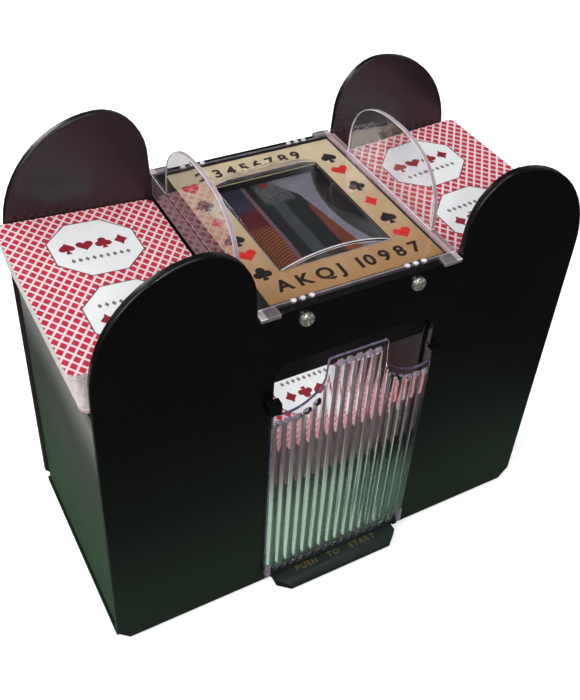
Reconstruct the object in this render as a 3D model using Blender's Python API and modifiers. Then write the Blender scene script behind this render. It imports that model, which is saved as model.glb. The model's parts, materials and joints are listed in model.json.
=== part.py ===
"""Table-top playing-card shuffler: two sloped hoppers, a centre well with a
ribbed clear door, and a battery drive under each hopper.

Lengths below are millimetres, measured from the middle of the shell's lower
edge; the scene is in metres.  X runs along the length, left (-) to right (+),
Y from front (-) to rear (+), Z up.  The object stands on z = 0, and the origin
is the centre of its whole footprint.
"""
import math

import bmesh
import bpy
import numpy as np
from mathutils import Matrix, Vector

for leftover in list(bpy.data.objects):
    bpy.data.objects.remove(leftover, do_unlink=True)

# ------------------------------------------------------------------ shared dimensions
MM = 0.001
FOOT_LIFT = 1.0            # how far the feet hold the shell off the table
DEPTH_SHIFT = 4.0          # the press bar makes the front longer, so everything moves back
FRAME_SHIFT = Vector((0.0, DEPTH_SHIFT, FOOT_LIFT))

FIT = 0.3                  # gap left between resting neighbours
RUN = 0.05                 # running clearance, radial
SNUG = 0.03                # gap of a fixed sleeve on its shaft, radial
OVER = 1.0                 # how far most cutters run past the surface they open
PLATE_OVER = 2.0           # the same for cutters through the front and rear plates

HALF_DEPTH = 49.2          # front and rear plates, centre to outer face
PLATE_T = 3.2
INNER_Y = HALF_DEPTH - PLATE_T
PACK_Y = INNER_Y - FIT     # half depth of the pieces held between the plates
SADDLE_Z = 155.0           # top of the plates between the card guards
NOTCH_Z = 153.6            # corner notches for the feet of the clear cover
SCREW_X, SCREW_Z = 23.3, 149.2
SCREW_R = 1.4              # shank

END_X, END_T = 99.6, 2.2   # end panels: outer face, thickness
BASE_T = 2.5
DECK_T, DECK_TOP = 2.4, 153.6
OPEN_X, OPEN_Y = 23.5, 28.7      # half size of the picture opening in the deck

DOOR_AXIS = (-51.1, 6.5)   # hinge of the clear door, in Y and Z
PIN_R = 0.9                # its hinge pins
LUG_X = (30.95, 32.35)     # its hinge lugs on the front plate
CATCH_X, CATCH_Z = (34.4, 37.2), (110.2, 114.0)   # catch stems in the front plate
CATCH_GAP = 0.2

PIVOT_Y, PIVOT_Z, PIVOT_R = -26.0, 6.6, 1.5       # pin the press bar swings on
BATTERY_AXIS = (-7.2, 1.35)      # hinge of the battery door, in Y and Z
BATTERY_PIN_R = 0.8
BATTERY_OPEN_X, BATTERY_OPEN_Y = 52.5, (-9.0, 43.5)
BOX_Y0 = -11.8             # front face of the battery tray

CARD_W, CARD_L, CARD_R = 63.5, 88.9, 3.5
TILT = math.radians(4.08)  # hopper floors fall toward the centre
STACK_X, STACK_TOP_Z = 42.4, 145.0   # inner top edge of a hopper stack
STACK_T = 18.2
WELL_STACK_Z0, WELL_STACK_Z1 = 57.3, 79.0

BOTH = (-1, 1)
SIDES = ((-1, "left"), (1, "right"))
FACES = ((-1, "front"), (1, "rear"))

# ------------------------------------------------------------------ scene and materials
scene = bpy.context.scene
body = bpy.data.collections.new("card_shuffler")
tools = bpy.data.collections.new("cutters")
scene.collection.children.link(body)
scene.collection.children.link(tools)


def material(name, colour, roughness, metallic=0.0, transmission=0.0):
    mat = bpy.data.materials.new(name)
    mat.use_nodes = True
    shader = mat.node_tree.nodes["Principled BSDF"]
    shader.inputs["Base Color"].default_value = (*colour, 1.0)
    shader.inputs["Roughness"].default_value = roughness
    shader.inputs["Metallic"].default_value = metallic
    shader.inputs["Transmission Weight"].default_value = transmission
    mat.diffuse_color = (*colour, 1.0)
    return mat


BLACK = material("black_abs", colour=(0.012, 0.014, 0.013), roughness=0.32)
INSIDE = material("inner_black_abs", colour=(0.03, 0.026, 0.027), roughness=0.45)
PANEL = material("end_panel_abs", colour=(0.05, 0.055, 0.05), roughness=0.4)
CLEAR = material("clear_styrene", colour=(0.93, 0.93, 0.95), roughness=0.04, transmission=0.95)
GOLD = material("gold_foil_label", colour=(0.62, 0.45, 0.2), roughness=0.35, metallic=0.6)
PRINT = material("printed_card", colour=(0.12, 0.03, 0.04), roughness=0.4)
CARDS = material("playing_cards", colour=(0.75, 0.1, 0.16), roughness=0.45)
STEEL = material("nickel_steel", colour=(0.66, 0.62, 0.52), roughness=0.22, metallic=1.0)
SHAFT = material("shaft_steel", colour=(0.6, 0.6, 0.6), roughness=0.25, metallic=1.0)
RUBBER = material("feed_rubber", colour=(0.05, 0.05, 0.05), roughness=0.85)
FOOT_RUBBER = material("foot_rubber", colour=(0.03, 0.03, 0.03), roughness=0.9)
NYLON = material("white_nylon", colour=(0.8, 0.79, 0.74), roughness=0.5)
BRASS = material("brass", colour=(0.7, 0.5, 0.2), roughness=0.3, metallic=1.0)
MOTOR = material("motor_can_steel", colour=(0.5, 0.5, 0.5), roughness=0.3, metallic=1.0)
CELL = material("cell_sleeve", colour=(0.08, 0.16, 0.32), roughness=0.3)
CONTACT = material("contact_steel", colour=(0.7, 0.7, 0.68), roughness=0.25, metallic=1.0)
SWITCH = material("switch_housing", colour=(0.25, 0.05, 0.04), roughness=0.4)

# ------------------------------------------------------------------ outlines
def span(side, near, far):
    """A range measured outward from the centre, on side -1 or +1, low end first."""
    return sorted((side * near, side * far))


def arc(centre_u, centre_v, radius_u, radius_v, start, sweep, steps):
    """Points along a circular or elliptical arc; angles in degrees."""
    points = []
    for i in range(steps + 1):
        angle = math.radians(start + sweep * i / steps)
        points.append((centre_u + radius_u * math.cos(angle),
                       centre_v + radius_v * math.sin(angle)))
    return points


def on_side(side, points):
    return [(side * x, z) for x, z in points]


def with_mirror(right):
    """Close an outline by adding its mirror image across the centre."""
    return right + [(-x, z) for x, z in reversed(right)]


# ------------------------------------------------------------------ solids
# Turn a solid drawn along Z so that it lies along another axis.
TURN = {
    "x": Matrix(((0, 0, 1, 0), (1, 0, 0, 0), (0, 1, 0, 0), (0, 0, 0, 1))),
    "y": Matrix(((1, 0, 0, 0), (0, 0, -1, 0), (0, 1, 0, 0), (0, 0, 0, 1))),
    "z": Matrix.Identity(4),
}
# The same for turned pieces, which keep their direction along Y.
TURN_SPUN = {**TURN, "y": Matrix(((0, 1, 0, 0), (0, 0, 1, 0), (1, 0, 0, 0), (0, 0, 0, 1)))}


def at(axis, centre, along):
    """Point at `along` on the axis and at `centre` in the other two directions."""
    first, second = centre
    return {"x": (along, first, second),
            "y": (first, along, second),
            "z": (first, second, along)}[axis]


def ease_shading(solid):
    """Smooth shading on curved walls, flat shading on flat faces."""
    flat, crease = math.radians(1), math.radians(35)
    for edge in solid.edges:
        edge.smooth = edge.calc_face_angle(0.0) < crease
    for face in solid.faces:
        face.smooth = any(flat < edge.calc_face_angle(0.0) < crease for edge in face.edges)


def evaluated(obj):
    """The modelled shape of a temporary object, as a welded mesh."""
    scene.collection.objects.link(obj)
    bpy.context.view_layer.update()
    depsgraph = bpy.context.evaluated_depsgraph_get()
    data = bpy.data.meshes.new_from_object(obj.evaluated_get(depsgraph))
    solid = bmesh.new()
    solid.from_mesh(data)
    bmesh.ops.remove_doubles(solid, verts=solid.verts, dist=0.0001)
    bmesh.ops.dissolve_limit(solid, angle_limit=math.radians(0.1),
                             verts=solid.verts, edges=solid.edges)
    bmesh.ops.recalc_face_normals(solid, faces=solid.faces)
    source = obj.data
    bpy.data.objects.remove(obj, do_unlink=True)
    (bpy.data.curves if isinstance(source, bpy.types.Curve) else bpy.data.meshes).remove(source)
    bpy.data.meshes.remove(data)
    return solid


def prism(points, axis, low, high):
    """Flat outline drawn as a filled 2D curve and extruded from low to high along axis."""
    curve = bpy.data.curves.new("outline", "CURVE")
    curve.dimensions = "2D"
    curve.fill_mode = "BOTH"
    curve.extrude = (high - low) / 2
    line = curve.splines.new("POLY")
    line.points.add(len(points) - 1)
    for knot, (across, up) in zip(line.points, points):
        knot.co = (across, up, 0.0, 1.0)
    line.use_cyclic_u = True
    solid = evaluated(bpy.data.objects.new("outline", curve))
    move = Matrix.Translation(at(axis, (0, 0), (low + high) / 2))
    bmesh.ops.transform(solid, matrix=move @ TURN[axis], verts=solid.verts)
    ease_shading(solid)
    return solid


def box(x0, x1, y0, y1, z0, z1):
    solid = bmesh.new()
    bmesh.ops.create_cube(solid, size=1.0)
    bmesh.ops.scale(solid, vec=(x1 - x0, y1 - y0, z1 - z0), verts=solid.verts)
    middle = ((x0 + x1) / 2, (y0 + y1) / 2, (z0 + z1) / 2)
    bmesh.ops.translate(solid, vec=middle, verts=solid.verts)
    return solid


def rod(axis, centre, radius, low, high, sides):
    """Cylinder along an axis; centre is its place in the other two."""
    solid = bmesh.new()
    bmesh.ops.create_cone(solid, cap_ends=True, segments=sides,
                          radius1=radius, radius2=radius, depth=high - low)
    bmesh.ops.transform(solid, matrix=TURN[axis], verts=solid.verts)
    bmesh.ops.translate(solid, vec=at(axis, centre, (low + high) / 2), verts=solid.verts)
    ease_shading(solid)
    return solid


def turned(axis, centre, profile, sides):
    """Turned piece: (distance along the axis, radius) pairs spun by a Screw modifier."""
    run = list(reversed(profile)) if profile[0][0] < profile[-1][0] else list(profile)
    run = [(run[0][0], 0.0)] + run + [(run[-1][0], 0.0)]
    data = bpy.data.meshes.new("profile")
    data.from_pydata([(radius, 0.0, along) for along, radius in run],
                     [(i, i + 1) for i in range(len(run) - 1)], [])
    obj = bpy.data.objects.new("profile", data)
    spin = obj.modifiers.new("spin", "SCREW")
    spin.axis = "Z"
    spin.steps = spin.render_steps = sides
    spin.use_merge_vertices = True
    spin.merge_threshold = 0.0001
    solid = evaluated(obj)
    bmesh.ops.transform(solid, matrix=TURN_SPUN[axis], verts=solid.verts)
    bmesh.ops.translate(solid, vec=at(axis, centre, 0), verts=solid.verts)
    ease_shading(solid)
    return solid


def join(solids):
    """Several separate closed shells in one mesh."""
    whole = bmesh.new()
    for solid in solids:
        data = bpy.data.meshes.new("shell")
        solid.to_mesh(data)
        solid.free()
        whole.from_mesh(data)
        bpy.data.meshes.remove(data)
    return whole


# ------------------------------------------------------------------ objects
def to_object(name, solid, origin=(0, 0, 0)):
    pivot = Vector(origin)
    bmesh.ops.translate(solid, vec=-pivot, verts=solid.verts)
    bmesh.ops.scale(solid, vec=(MM, MM, MM), verts=solid.verts)
    data = bpy.data.meshes.new(name)
    solid.to_mesh(data)
    solid.free()
    obj = bpy.data.objects.new(name, data)
    obj.location = (pivot + FRAME_SHIFT) * MM
    return obj


def helper(solid):
    """Hidden object for a Boolean modifier to use."""
    obj = to_object("cutter_%03d" % (len(tools.objects) + 1), solid)
    obj.hide_render = True
    obj.display_type = "WIRE"
    tools.objects.link(obj)
    return obj


def soften(obj, width, segments):
    bevel = obj.modifiers.new("edges", "BEVEL")
    bevel.width = width * MM
    bevel.segments = segments
    bevel.limit_method = "ANGLE"
    bevel.angle_limit = math.radians(60)
    bevel.use_clamp_overlap = True


def piece(name, base, mat, add=(), cut=(), origin=(0, 0, 0), rim=0.0, bevel=0.0, segments=2):
    """One sub-part: a base solid, solids joined to it, solids taken from it.

    rim rounds the base before the Booleans, bevel rounds the finished shape.
    """
    obj = to_object(name, base, origin)
    body.objects.link(obj)
    obj.data.materials.append(mat)
    if rim:
        soften(obj, rim, 3)
    for operation, solids in (("UNION", add), ("DIFFERENCE", cut)):
        for solid in solids:
            boolean = obj.modifiers.new(operation.lower(), "BOOLEAN")
            boolean.operation = operation
            boolean.solver = "EXACT"
            boolean.object = helper(solid)
    if bevel:
        soften(obj, bevel, segments)


# ------------------------------------------------------------------ shell plates
HALF_LENGTH = 101.0        # centre to end
CHAMFER_X, CHAMFER_Z = 5.0, 6.0   # lower corners
PLATE_RIM = 1.35
GUARD_X, GUARD_TOP = 62.0, 187.5  # rounded card guards
GUARD_OUT_Z = 143.5        # where the outer curve of a guard starts
GUARD_IN_X, GUARD_IN_Z = 19.6, 24.0   # radii of its inner curve
NOTCH_LIP, NOTCH_LIP_Z = 0.5, 155.5   # step between inner curve and corner notch
NOTCH_X = 33.3             # inner end of the corner notch
WINDOW_X, WINDOW_Z0, WINDOW_Z1, WINDOW_R = 34.6, 54.0, 130.0, 8.0
SCREW_HOLE_R = 1.7
ARM_SLOT_X, ARM_SLOT_Z = 11.2, 6.4    # slot for the arm of the press bar
LUG_R, LUG_SUNK = 1.9, 0.4


def plate_outline():
    """Outline of the front and rear plates in X and Z, counter-clockwise."""
    right = [(HALF_LENGTH - CHAMFER_X, 0.0), (HALF_LENGTH, CHAMFER_Z)]
    right += arc(GUARD_X, GUARD_OUT_Z, HALF_LENGTH - GUARD_X, GUARD_TOP - GUARD_OUT_Z, 0, 90, 14)
    right += arc(GUARD_X, GUARD_TOP - GUARD_IN_Z, GUARD_IN_X, GUARD_IN_Z, 90, 90, 9)[1:]
    edge = GUARD_X - GUARD_IN_X - NOTCH_LIP
    right += [(edge, NOTCH_LIP_Z), (edge, NOTCH_Z), (NOTCH_X, NOTCH_Z), (NOTCH_X, SADDLE_Z)]
    return with_mirror(right)


def window_outline():
    """Window with rounded upper corners, in X and Z."""
    centre_x, centre_z = WINDOW_X - WINDOW_R, WINDOW_Z1 - WINDOW_R
    return ([(-WINDOW_X, WINDOW_Z0), (WINDOW_X, WINDOW_Z0)]
            + arc(centre_x, centre_z, WINDOW_R, WINDOW_R, 0, 90, 5)
            + arc(-centre_x, centre_z, WINDOW_R, WINDOW_R, 90, 90, 5))


def lug(side):
    """Half-round hinge lug standing on the face of the front plate."""
    y, z = DOOR_AXIS
    root = -HALF_DEPTH + LUG_SUNK
    points = [(root, z - LUG_R)] + arc(y, z, LUG_R, LUG_R, 270, -180, 8) + [(root, z + LUG_R)]
    return prism(points, "x", *span(side, *LUG_X))


def through_plate(facing):
    return span(facing, INNER_Y - PLATE_OVER, HALF_DEPTH + PLATE_OVER)


def screw_holes(facing):
    return join(rod("y", (side * SCREW_X, SCREW_Z), SCREW_HOLE_R, *through_plate(facing), 16)
                for side in BOTH)


piece(
    "front_plate",
    prism(plate_outline(), "y", -HALF_DEPTH, -INNER_Y),
    BLACK,
    rim=PLATE_RIM,
    add=[lug(1), lug(-1)],
    cut=[
        prism(window_outline(), "y", *through_plate(-1)),
        screw_holes(-1),
        box(-ARM_SLOT_X, ARM_SLOT_X, *through_plate(-1), -2, ARM_SLOT_Z),
        join(rod("x", DOOR_AXIS, PIN_R + SNUG, *span(side, LUG_X[0] - OVER, LUG_X[1] + OVER), 20)
             for side in (1, -1)),
        join(box(*span(side, CATCH_X[0] - CATCH_GAP, CATCH_X[1] + CATCH_GAP),
                 *through_plate(-1), CATCH_Z[0] - CATCH_GAP, CATCH_Z[1] + CATCH_GAP)
             for side in (1, -1)),
    ],
)
piece(
    "rear_plate",
    prism(plate_outline(), "y", INNER_Y, HALF_DEPTH),
    BLACK,
    rim=PLATE_RIM,
    cut=[screw_holes(1)],
)

# ------------------------------------------------------------------ ends, base and feet
END_TOP = 117.2
BASE_X = 100.5
CHEEK_X = (13.4, 16.4)     # two cheeks that carry the press bar's pin
CHEEK_R, CHEEK_FOOT, CHEEK_Z0 = 3.4, 4.2, 1.5   # top radius, half width below, lower edge
BAR_SLOT_X, BAR_SLOT_BACK = 12.9, 4.6   # slot round the arm; runs this far behind the pin
FOOT_X, FOOT_Y, FOOT_R = 88.0, 36.0, 5.0
FOOT_RECESS = 1.0
FEET = [(side * FOOT_X, facing * FOOT_Y, face + "_" + label)
        for facing, face in FACES for side, label in SIDES]

for side, label in SIDES:
    piece("end_panel_" + label,
          box(*span(side, END_X - END_T, END_X), -PACK_Y, PACK_Y, BASE_T + FIT, END_TOP),
          PANEL, bevel=0.5)


def pivot_cheek(side):
    points = [(PIVOT_Y - CHEEK_FOOT, CHEEK_Z0), (PIVOT_Y + CHEEK_FOOT, CHEEK_Z0)]
    points += arc(PIVOT_Y, PIVOT_Z, CHEEK_R, CHEEK_R, 0, 180, 8)
    return prism(points, "x", *span(side, *CHEEK_X))


piece(
    "base_plate",
    box(-BASE_X, BASE_X, -PACK_Y, PACK_Y, 0.0, BASE_T),
    BLACK,
    add=[pivot_cheek(side) for side in BOTH],
    cut=[
        join(rod("z", (x, y), FOOT_R + FIT, -OVER, FOOT_RECESS, 24) for x, y, _ in FEET),
        box(-BATTERY_OPEN_X, BATTERY_OPEN_X, *BATTERY_OPEN_Y, -OVER, BASE_T + OVER),
        box(-BAR_SLOT_X, BAR_SLOT_X, -INNER_Y - OVER, PIVOT_Y + BAR_SLOT_BACK,
            -OVER, BASE_T + OVER),
        rod("x", (PIVOT_Y, PIVOT_Z), PIVOT_R + SNUG, -18, 18, 24),
        join(rod("x", BATTERY_AXIS, BATTERY_PIN_R + RUN, *span(side, 51.5, 54.8), 16)
             for side in (1, -1)),
    ],
)
for x, y, place in FEET:
    foot_profile = [(-FOOT_LIFT, 4.5), (-0.5, FOOT_R), (FOOT_RECESS - FIT, FOOT_R)]
    piece("foot_" + place, turned("z", (x, y), foot_profile, 24), FOOT_RUBBER)

# ------------------------------------------------------------------ deck, picture, label
DECK_X = 40.2
SKIRT_X, SKIRT_T, SKIRT_Z0 = 39.1, 2.0, 127.6   # left and right walls under the deck
APRON_X, APRON_T, APRON_Z0 = 32.8, 0.9, 118.6   # thin walls behind the plates
WALL_SUNK = 1.0            # walls end this far below the deck's top
BOSS_HALF, BOSS_Y, BOSS_Z0 = 3.4, 40.5, 144.6   # blocks the screws enter
BOSS_Y_GAP, BOSS_SUNK = 0.2, 0.6
ART_LAP, ART_T = 2.0, 0.8
LABEL_X0, LABEL_X1, LABEL_Y = -34.9, 37.3, 43.9   # the label sits a little to the right
LABEL_T = 0.25

piece(
    "top_deck",
    box(-DECK_X, DECK_X, -PACK_Y, PACK_Y, DECK_TOP - DECK_T, DECK_TOP),
    INSIDE,
    add=[
        *[box(*span(side, SKIRT_X - SKIRT_T, SKIRT_X), -PACK_Y, PACK_Y,
              SKIRT_Z0, DECK_TOP - WALL_SUNK) for side in BOTH],
        *[box(-APRON_X, APRON_X, *span(facing, PACK_Y - APRON_T, PACK_Y),
              APRON_Z0, DECK_TOP - WALL_SUNK) for facing in BOTH],
        join(box(side * SCREW_X - BOSS_HALF, side * SCREW_X + BOSS_HALF,
                 *span(facing, BOSS_Y, PACK_Y - BOSS_Y_GAP), BOSS_Z0, DECK_TOP - BOSS_SUNK)
             for facing in BOTH for side in BOTH),
    ],
    cut=[
        box(-OPEN_X, OPEN_X, -OPEN_Y, OPEN_Y, DECK_TOP - DECK_T - OVER, DECK_TOP + OVER),
        join(rod("y", (side * SCREW_X, SCREW_Z), SCREW_R + SNUG, *span(facing, 41.2, 47.0), 16)
             for side in BOTH for facing in BOTH),
    ],
)
art_top = DECK_TOP - DECK_T - FIT
piece(
    "art_panel",
    box(-OPEN_X - ART_LAP, OPEN_X + ART_LAP, -OPEN_Y - ART_LAP, OPEN_Y + ART_LAP,
        art_top - ART_T, art_top),
    PRINT,
)
piece(
    "gold_label",
    box(LABEL_X0, LABEL_X1, -LABEL_Y, LABEL_Y, DECK_TOP + FIT, DECK_TOP + FIT + LABEL_T),
    GOLD,
    cut=[box(-OPEN_X, OPEN_X, -OPEN_Y, OPEN_Y, DECK_TOP - 1, DECK_TOP + 2)],
)

# ------------------------------------------------------------------ clear cover
COVER_X, COVER_Z0, COVER_Z1 = 41.9, 154.45, 156.0
RAIL_X, RAIL_Z0 = 40.6, 146.2    # side rails: inner face, lower edge
LENS_X, LENS_Y, LENS_TOP = 24.5, 29.7, 160.2
LENS_T = 1.3               # thickness at the crown
FIN_Y, FIN_TOP, FIN_T = 31.0, 185.3, 1.8
FIN_CURVE_Z = 160.0        # where the curve of a fin starts
FIN_POWER = 2.0 / 2.35     # a little squarer than an ellipse
COVER_LUG_R, COVER_LUG_Y = 1.05, 45.9
COVER_LUG_X = (-27.0, -23.4, -19.8, 19.8, 23.4, 27.0)   # round lugs along both long edges


def vault(half, base, top, steps=16):
    """Segment of a circle standing on z = base, as X and Z points from right to left."""
    rise = top - base
    radius = (half * half + rise * rise) / (2 * rise)
    centre_z = top - radius
    reach = math.asin(half / radius)
    points = []
    for i in range(steps, -1, -1):
        angle = -reach + 2 * reach * i / steps
        points.append((radius * math.sin(angle), centre_z + radius * math.cos(angle)))
    return points


def fin_outline(steps=22):
    """Rounded card guard fin in Y and Z."""
    root = COVER_Z1 - 0.6
    points = [(FIN_Y, root)]
    for i in range(steps + 1):
        angle = math.pi * i / steps
        across, up = math.cos(angle), math.sin(angle)
        points.append((math.copysign(abs(across) ** FIN_POWER, across) * FIN_Y,
                       FIN_CURVE_Z + (FIN_TOP - FIN_CURVE_Z) * abs(up) ** FIN_POWER))
    return points + [(-FIN_Y, root)]


def hollow_outline():
    """Space under the domed lens, open below."""
    below = COVER_Z0 - OVER
    return ([(OPEN_X, below)] + vault(OPEN_X, COVER_Z0 + 0.05, LENS_TOP - LENS_T)
            + [(-OPEN_X, below)])


def corner_blocks(x_range, y_range, z_range):
    return join(box(*span(side, *x_range), *span(facing, *y_range), *z_range)
                for side in BOTH for facing in BOTH)


piece(
    "clear_cover",
    box(-COVER_X, COVER_X, -PACK_Y, PACK_Y, COVER_Z0, COVER_Z1),
    CLEAR,
    add=[
        *[box(*span(side, RAIL_X, COVER_X), -PACK_Y, PACK_Y, RAIL_Z0, COVER_Z1 - 0.4)
          for side in BOTH],
        prism(vault(LENS_X, COVER_Z1 - 0.3, LENS_TOP), "y", -LENS_Y, LENS_Y),
        *[prism(fin_outline(), "x", *span(side, COVER_X - FIN_T, COVER_X)) for side in BOTH],
        # corner tabs, then the feet that drop into the plates' notches
        corner_blocks((33.9, 41.2), (44.6, 50.1), (COVER_Z0 + 0.1, COVER_Z1 - 0.5)),
        corner_blocks((33.8, 41.3), (46.1, 50.2), (NOTCH_Z + FIT, COVER_Z1 - 0.7)),
        join(rod("z", (x, facing * COVER_LUG_Y), COVER_LUG_R, SADDLE_Z + 0.2, COVER_Z1 + 0.35, 16)
             for x in COVER_LUG_X for facing in BOTH),
    ],
    cut=[prism(hollow_outline(), "y", -OPEN_Y, OPEN_Y)],
)

# ------------------------------------------------------------------ screws
HEAD_GAP = 0.1             # between the plate and the head
# Pan head: distance out from its seat, radius.
SCREW_HEAD = ((1.9, 1.5), (1.7, 2.2), (1.1, 2.75), (0.0, 2.9))
SLOT_LONG, SLOT_WIDE = 1.7, 0.3      # half sizes of the cross recess


def screw(side, label, facing, face):
    """Cross-head screw lying along Y, entering from the front (-1) or rear (+1)."""
    x = side * SCREW_X
    seat = facing * (HALF_DEPTH + HEAD_GAP)
    profile = [(seat + facing * out, radius) for out, radius in SCREW_HEAD]
    profile += [(seat, SCREW_R), (facing * 42.4, SCREW_R), (facing * 41.4, 0.6)]
    recess = sorted((seat + facing * 0.9, seat + facing * 3.0))
    cross = [box(x - half_x, x + half_x, *recess, SCREW_Z - half_z, SCREW_Z + half_z)
             for half_x, half_z in ((SLOT_LONG, SLOT_WIDE), (SLOT_WIDE, SLOT_LONG))]
    piece("screw_%s_%s" % (face, label), turned("y", (x, SCREW_Z), profile, 20), STEEL, cut=cross)


for facing, face in FACES:
    for side, label in SIDES:
        screw(side, label, facing, face)

# ------------------------------------------------------------------ hoppers and drive
FLOOR_T = 2.2
FLOOR_X0, FLOOR_X1 = 36.0, END_X - END_T - FIT
FLOOR_DROP = 1.2           # floor surface below the line of the cards' underside
LIP_T, LIP_Z0 = 1.9, 112.0 # the floors turn down beside the end panels to here
ROLLER_R, ROLLER_W, ROLLER_Y = 12.0, 12.0, 20.0
ROLLER_CHAMFER = 0.7
SHAFT_R, SHAFT_X, SHAFT_FRONT_Y = 2.0, 54.0, -39.6
SPINDLE_R = 1.5            # idler spindle

MODULE = 0.8
T_PINION, T_IDLER, T_IDLER_SMALL, T_SHAFT = 10, 36, 12, 18   # teeth
TOOTH_TIP, TOOTH_ROOT = 0.72, 1.05   # height and depth of a tooth, in modules
GEAR_Y_IN = (39.6, 42.0)   # plane of the shaft gear and the small idler wheel
GEAR_Y_OUT = (42.6, 45.0)  # plane of the pinion and the large idler wheel
HANGER_Y = (36.5, 39.0)

MOTOR_R, MOTOR_LEN, MOTOR_CHAMFER = 12.0, 30.0, 0.8
MOTOR_SHAFT_R = 1.0
MOTOR_FACE_Y = HANGER_Y[0] - FIT
MOTOR_BACK_Y = MOTOR_FACE_Y - MOTOR_LEN


def floor_z(x):
    """Top of a hopper floor at distance x from the centre."""
    bottom_inner_x = STACK_X + STACK_T * math.sin(TILT)
    bottom_inner_z = STACK_TOP_Z - STACK_T * math.cos(TILT)
    return bottom_inner_z + (x - bottom_inner_x) * math.tan(TILT) - FLOOR_DROP


def stepped_from(x, z, distance, degrees):
    angle = math.radians(degrees)
    return x + distance * math.cos(angle), z + distance * math.sin(angle)


# Wheel centres of the right-hand drive: shaft, idler, motor, each from the one before.
SHAFT_Z = floor_z(SHAFT_X) + FLOOR_DROP - FIT - ROLLER_R / math.cos(TILT)
IDLER_X, IDLER_Z = stepped_from(SHAFT_X, SHAFT_Z, MODULE * (T_SHAFT + T_IDLER_SMALL) / 2, -50)
MOTOR_X, MOTOR_Z = stepped_from(IDLER_X, IDLER_Z, MODULE * (T_IDLER + T_PINION) / 2, -20)

FLOOR_POINTS = [
    (FLOOR_X0, floor_z(FLOOR_X0)), (FLOOR_X1, floor_z(FLOOR_X1)),
    (FLOOR_X1, floor_z(FLOOR_X1) - FLOOR_T), (FLOOR_X0, floor_z(FLOOR_X0) - FLOOR_T),
]
# Hangers below the floor, X and Z.
REAR_HANGER = [
    (47.0, floor_z(47.0) - 1.0), (91.5, floor_z(91.5) - 1.0), (91.5, 98.0),
    (84.0, 89.5), (74.0, 89.5), (60.0, 99.0), (47.0, 109.0),
]
FRONT_HANGER = [
    (47.0, floor_z(47.0) - 1.0), (62.0, floor_z(62.0) - 1.0),
    (59.5, SHAFT_Z - 4.5), (48.5, SHAFT_Z - 4.5),
]


def gear(centre, teeth, phase, low, high):
    """Spur gear along Y with one tooth centred at angle `phase`."""
    centre_x, centre_z = centre
    pitch_radius = MODULE * teeth / 2
    tip = pitch_radius + TOOTH_TIP * MODULE
    root = pitch_radius - TOOTH_ROOT * MODULE
    pitch = 2 * math.pi / teeth
    points = []
    for k in range(teeth):
        middle = phase + k * pitch
        for offset, radius in ((-0.30, root), (-0.10, tip), (0.10, tip), (0.30, root)):
            angle = middle + offset * pitch
            points.append((centre_x + radius * math.cos(angle),
                           centre_z + radius * math.sin(angle)))
    return prism(points, "y", low, high)


def from_idler(side, x, z):
    """Direction from the idler to another wheel centre, in the X-Z plane."""
    return math.atan2(z - IDLER_Z, side * x - side * IDLER_X)


def gap_phase(angle, teeth):
    """Phase of a wheel lying at `angle` from its driver, with a gap facing back at it."""
    return angle + math.pi + math.pi / teeth


def hopper_floor(side, label):
    slots = [box(*span(side, SHAFT_X - 10.2, SHAFT_X + 10.6),
                 facing * ROLLER_Y - ROLLER_W / 2 - 1.0, facing * ROLLER_Y + ROLLER_W / 2 + 1.0,
                 118, 134) for facing in BOTH]
    through_hanger = (HANGER_Y[0] - OVER, HANGER_Y[1] + OVER)
    piece(
        "hopper_floor_" + label,
        prism(on_side(side, FLOOR_POINTS), "y", -PACK_Y, PACK_Y),
        INSIDE,
        add=[
            prism(on_side(side, REAR_HANGER), "y", *HANGER_Y),
            prism(on_side(side, FRONT_HANGER), "y", *span(-1, *HANGER_Y)),
            box(*span(side, FLOOR_X1 - LIP_T, FLOOR_X1), -PACK_Y, PACK_Y,
                LIP_Z0, floor_z(FLOOR_X1) - 0.8),
        ],
        cut=[
            join(slots),
            rod("y", (side * SHAFT_X, SHAFT_Z), SHAFT_R + RUN,
                -HANGER_Y[1] - OVER, HANGER_Y[1] + OVER, 28),
            join([
                rod("y", (side * IDLER_X, IDLER_Z), SPINDLE_R + RUN, *through_hanger, 24),
                rod("y", (side * MOTOR_X, MOTOR_Z), 3.3, *through_hanger, 24),
            ]),
        ],
    )


def roller_shaft(side, label):
    x = side * SHAFT_X
    piece("roller_shaft_" + label,
          rod("y", (x, SHAFT_Z), SHAFT_R, SHAFT_FRONT_Y, GEAR_Y_IN[1], 28),
          SHAFT, origin=(x, 0.0, SHAFT_Z))


def roller(side, label, facing, face):
    centre = (side * SHAFT_X, SHAFT_Z)
    low = facing * ROLLER_Y - ROLLER_W / 2
    high = facing * ROLLER_Y + ROLLER_W / 2
    profile = [(low, ROLLER_R - ROLLER_CHAMFER), (low + ROLLER_CHAMFER, ROLLER_R),
               (high - ROLLER_CHAMFER, ROLLER_R), (high, ROLLER_R - ROLLER_CHAMFER)]
    piece(
        "roller_%s_%s" % (label, face),
        turned("y", centre, profile, 30),
        RUBBER,
        cut=[rod("y", centre, SHAFT_R + SNUG, low - OVER, high + OVER, 28)],
        origin=at("y", centre, facing * ROLLER_Y),
    )


def shaft_gear(side, label):
    centre = (side * SHAFT_X, SHAFT_Z)
    phase = gap_phase(from_idler(side, SHAFT_X, SHAFT_Z), T_SHAFT)
    piece(
        "shaft_gear_" + label,
        gear(centre, T_SHAFT, phase, *GEAR_Y_IN),
        NYLON,
        cut=[rod("y", centre, SHAFT_R + SNUG, GEAR_Y_IN[0] - OVER, GEAR_Y_IN[1] + OVER, 28)],
        origin=at("y", centre, (GEAR_Y_IN[0] + GEAR_Y_IN[1]) / 2),
    )


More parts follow.
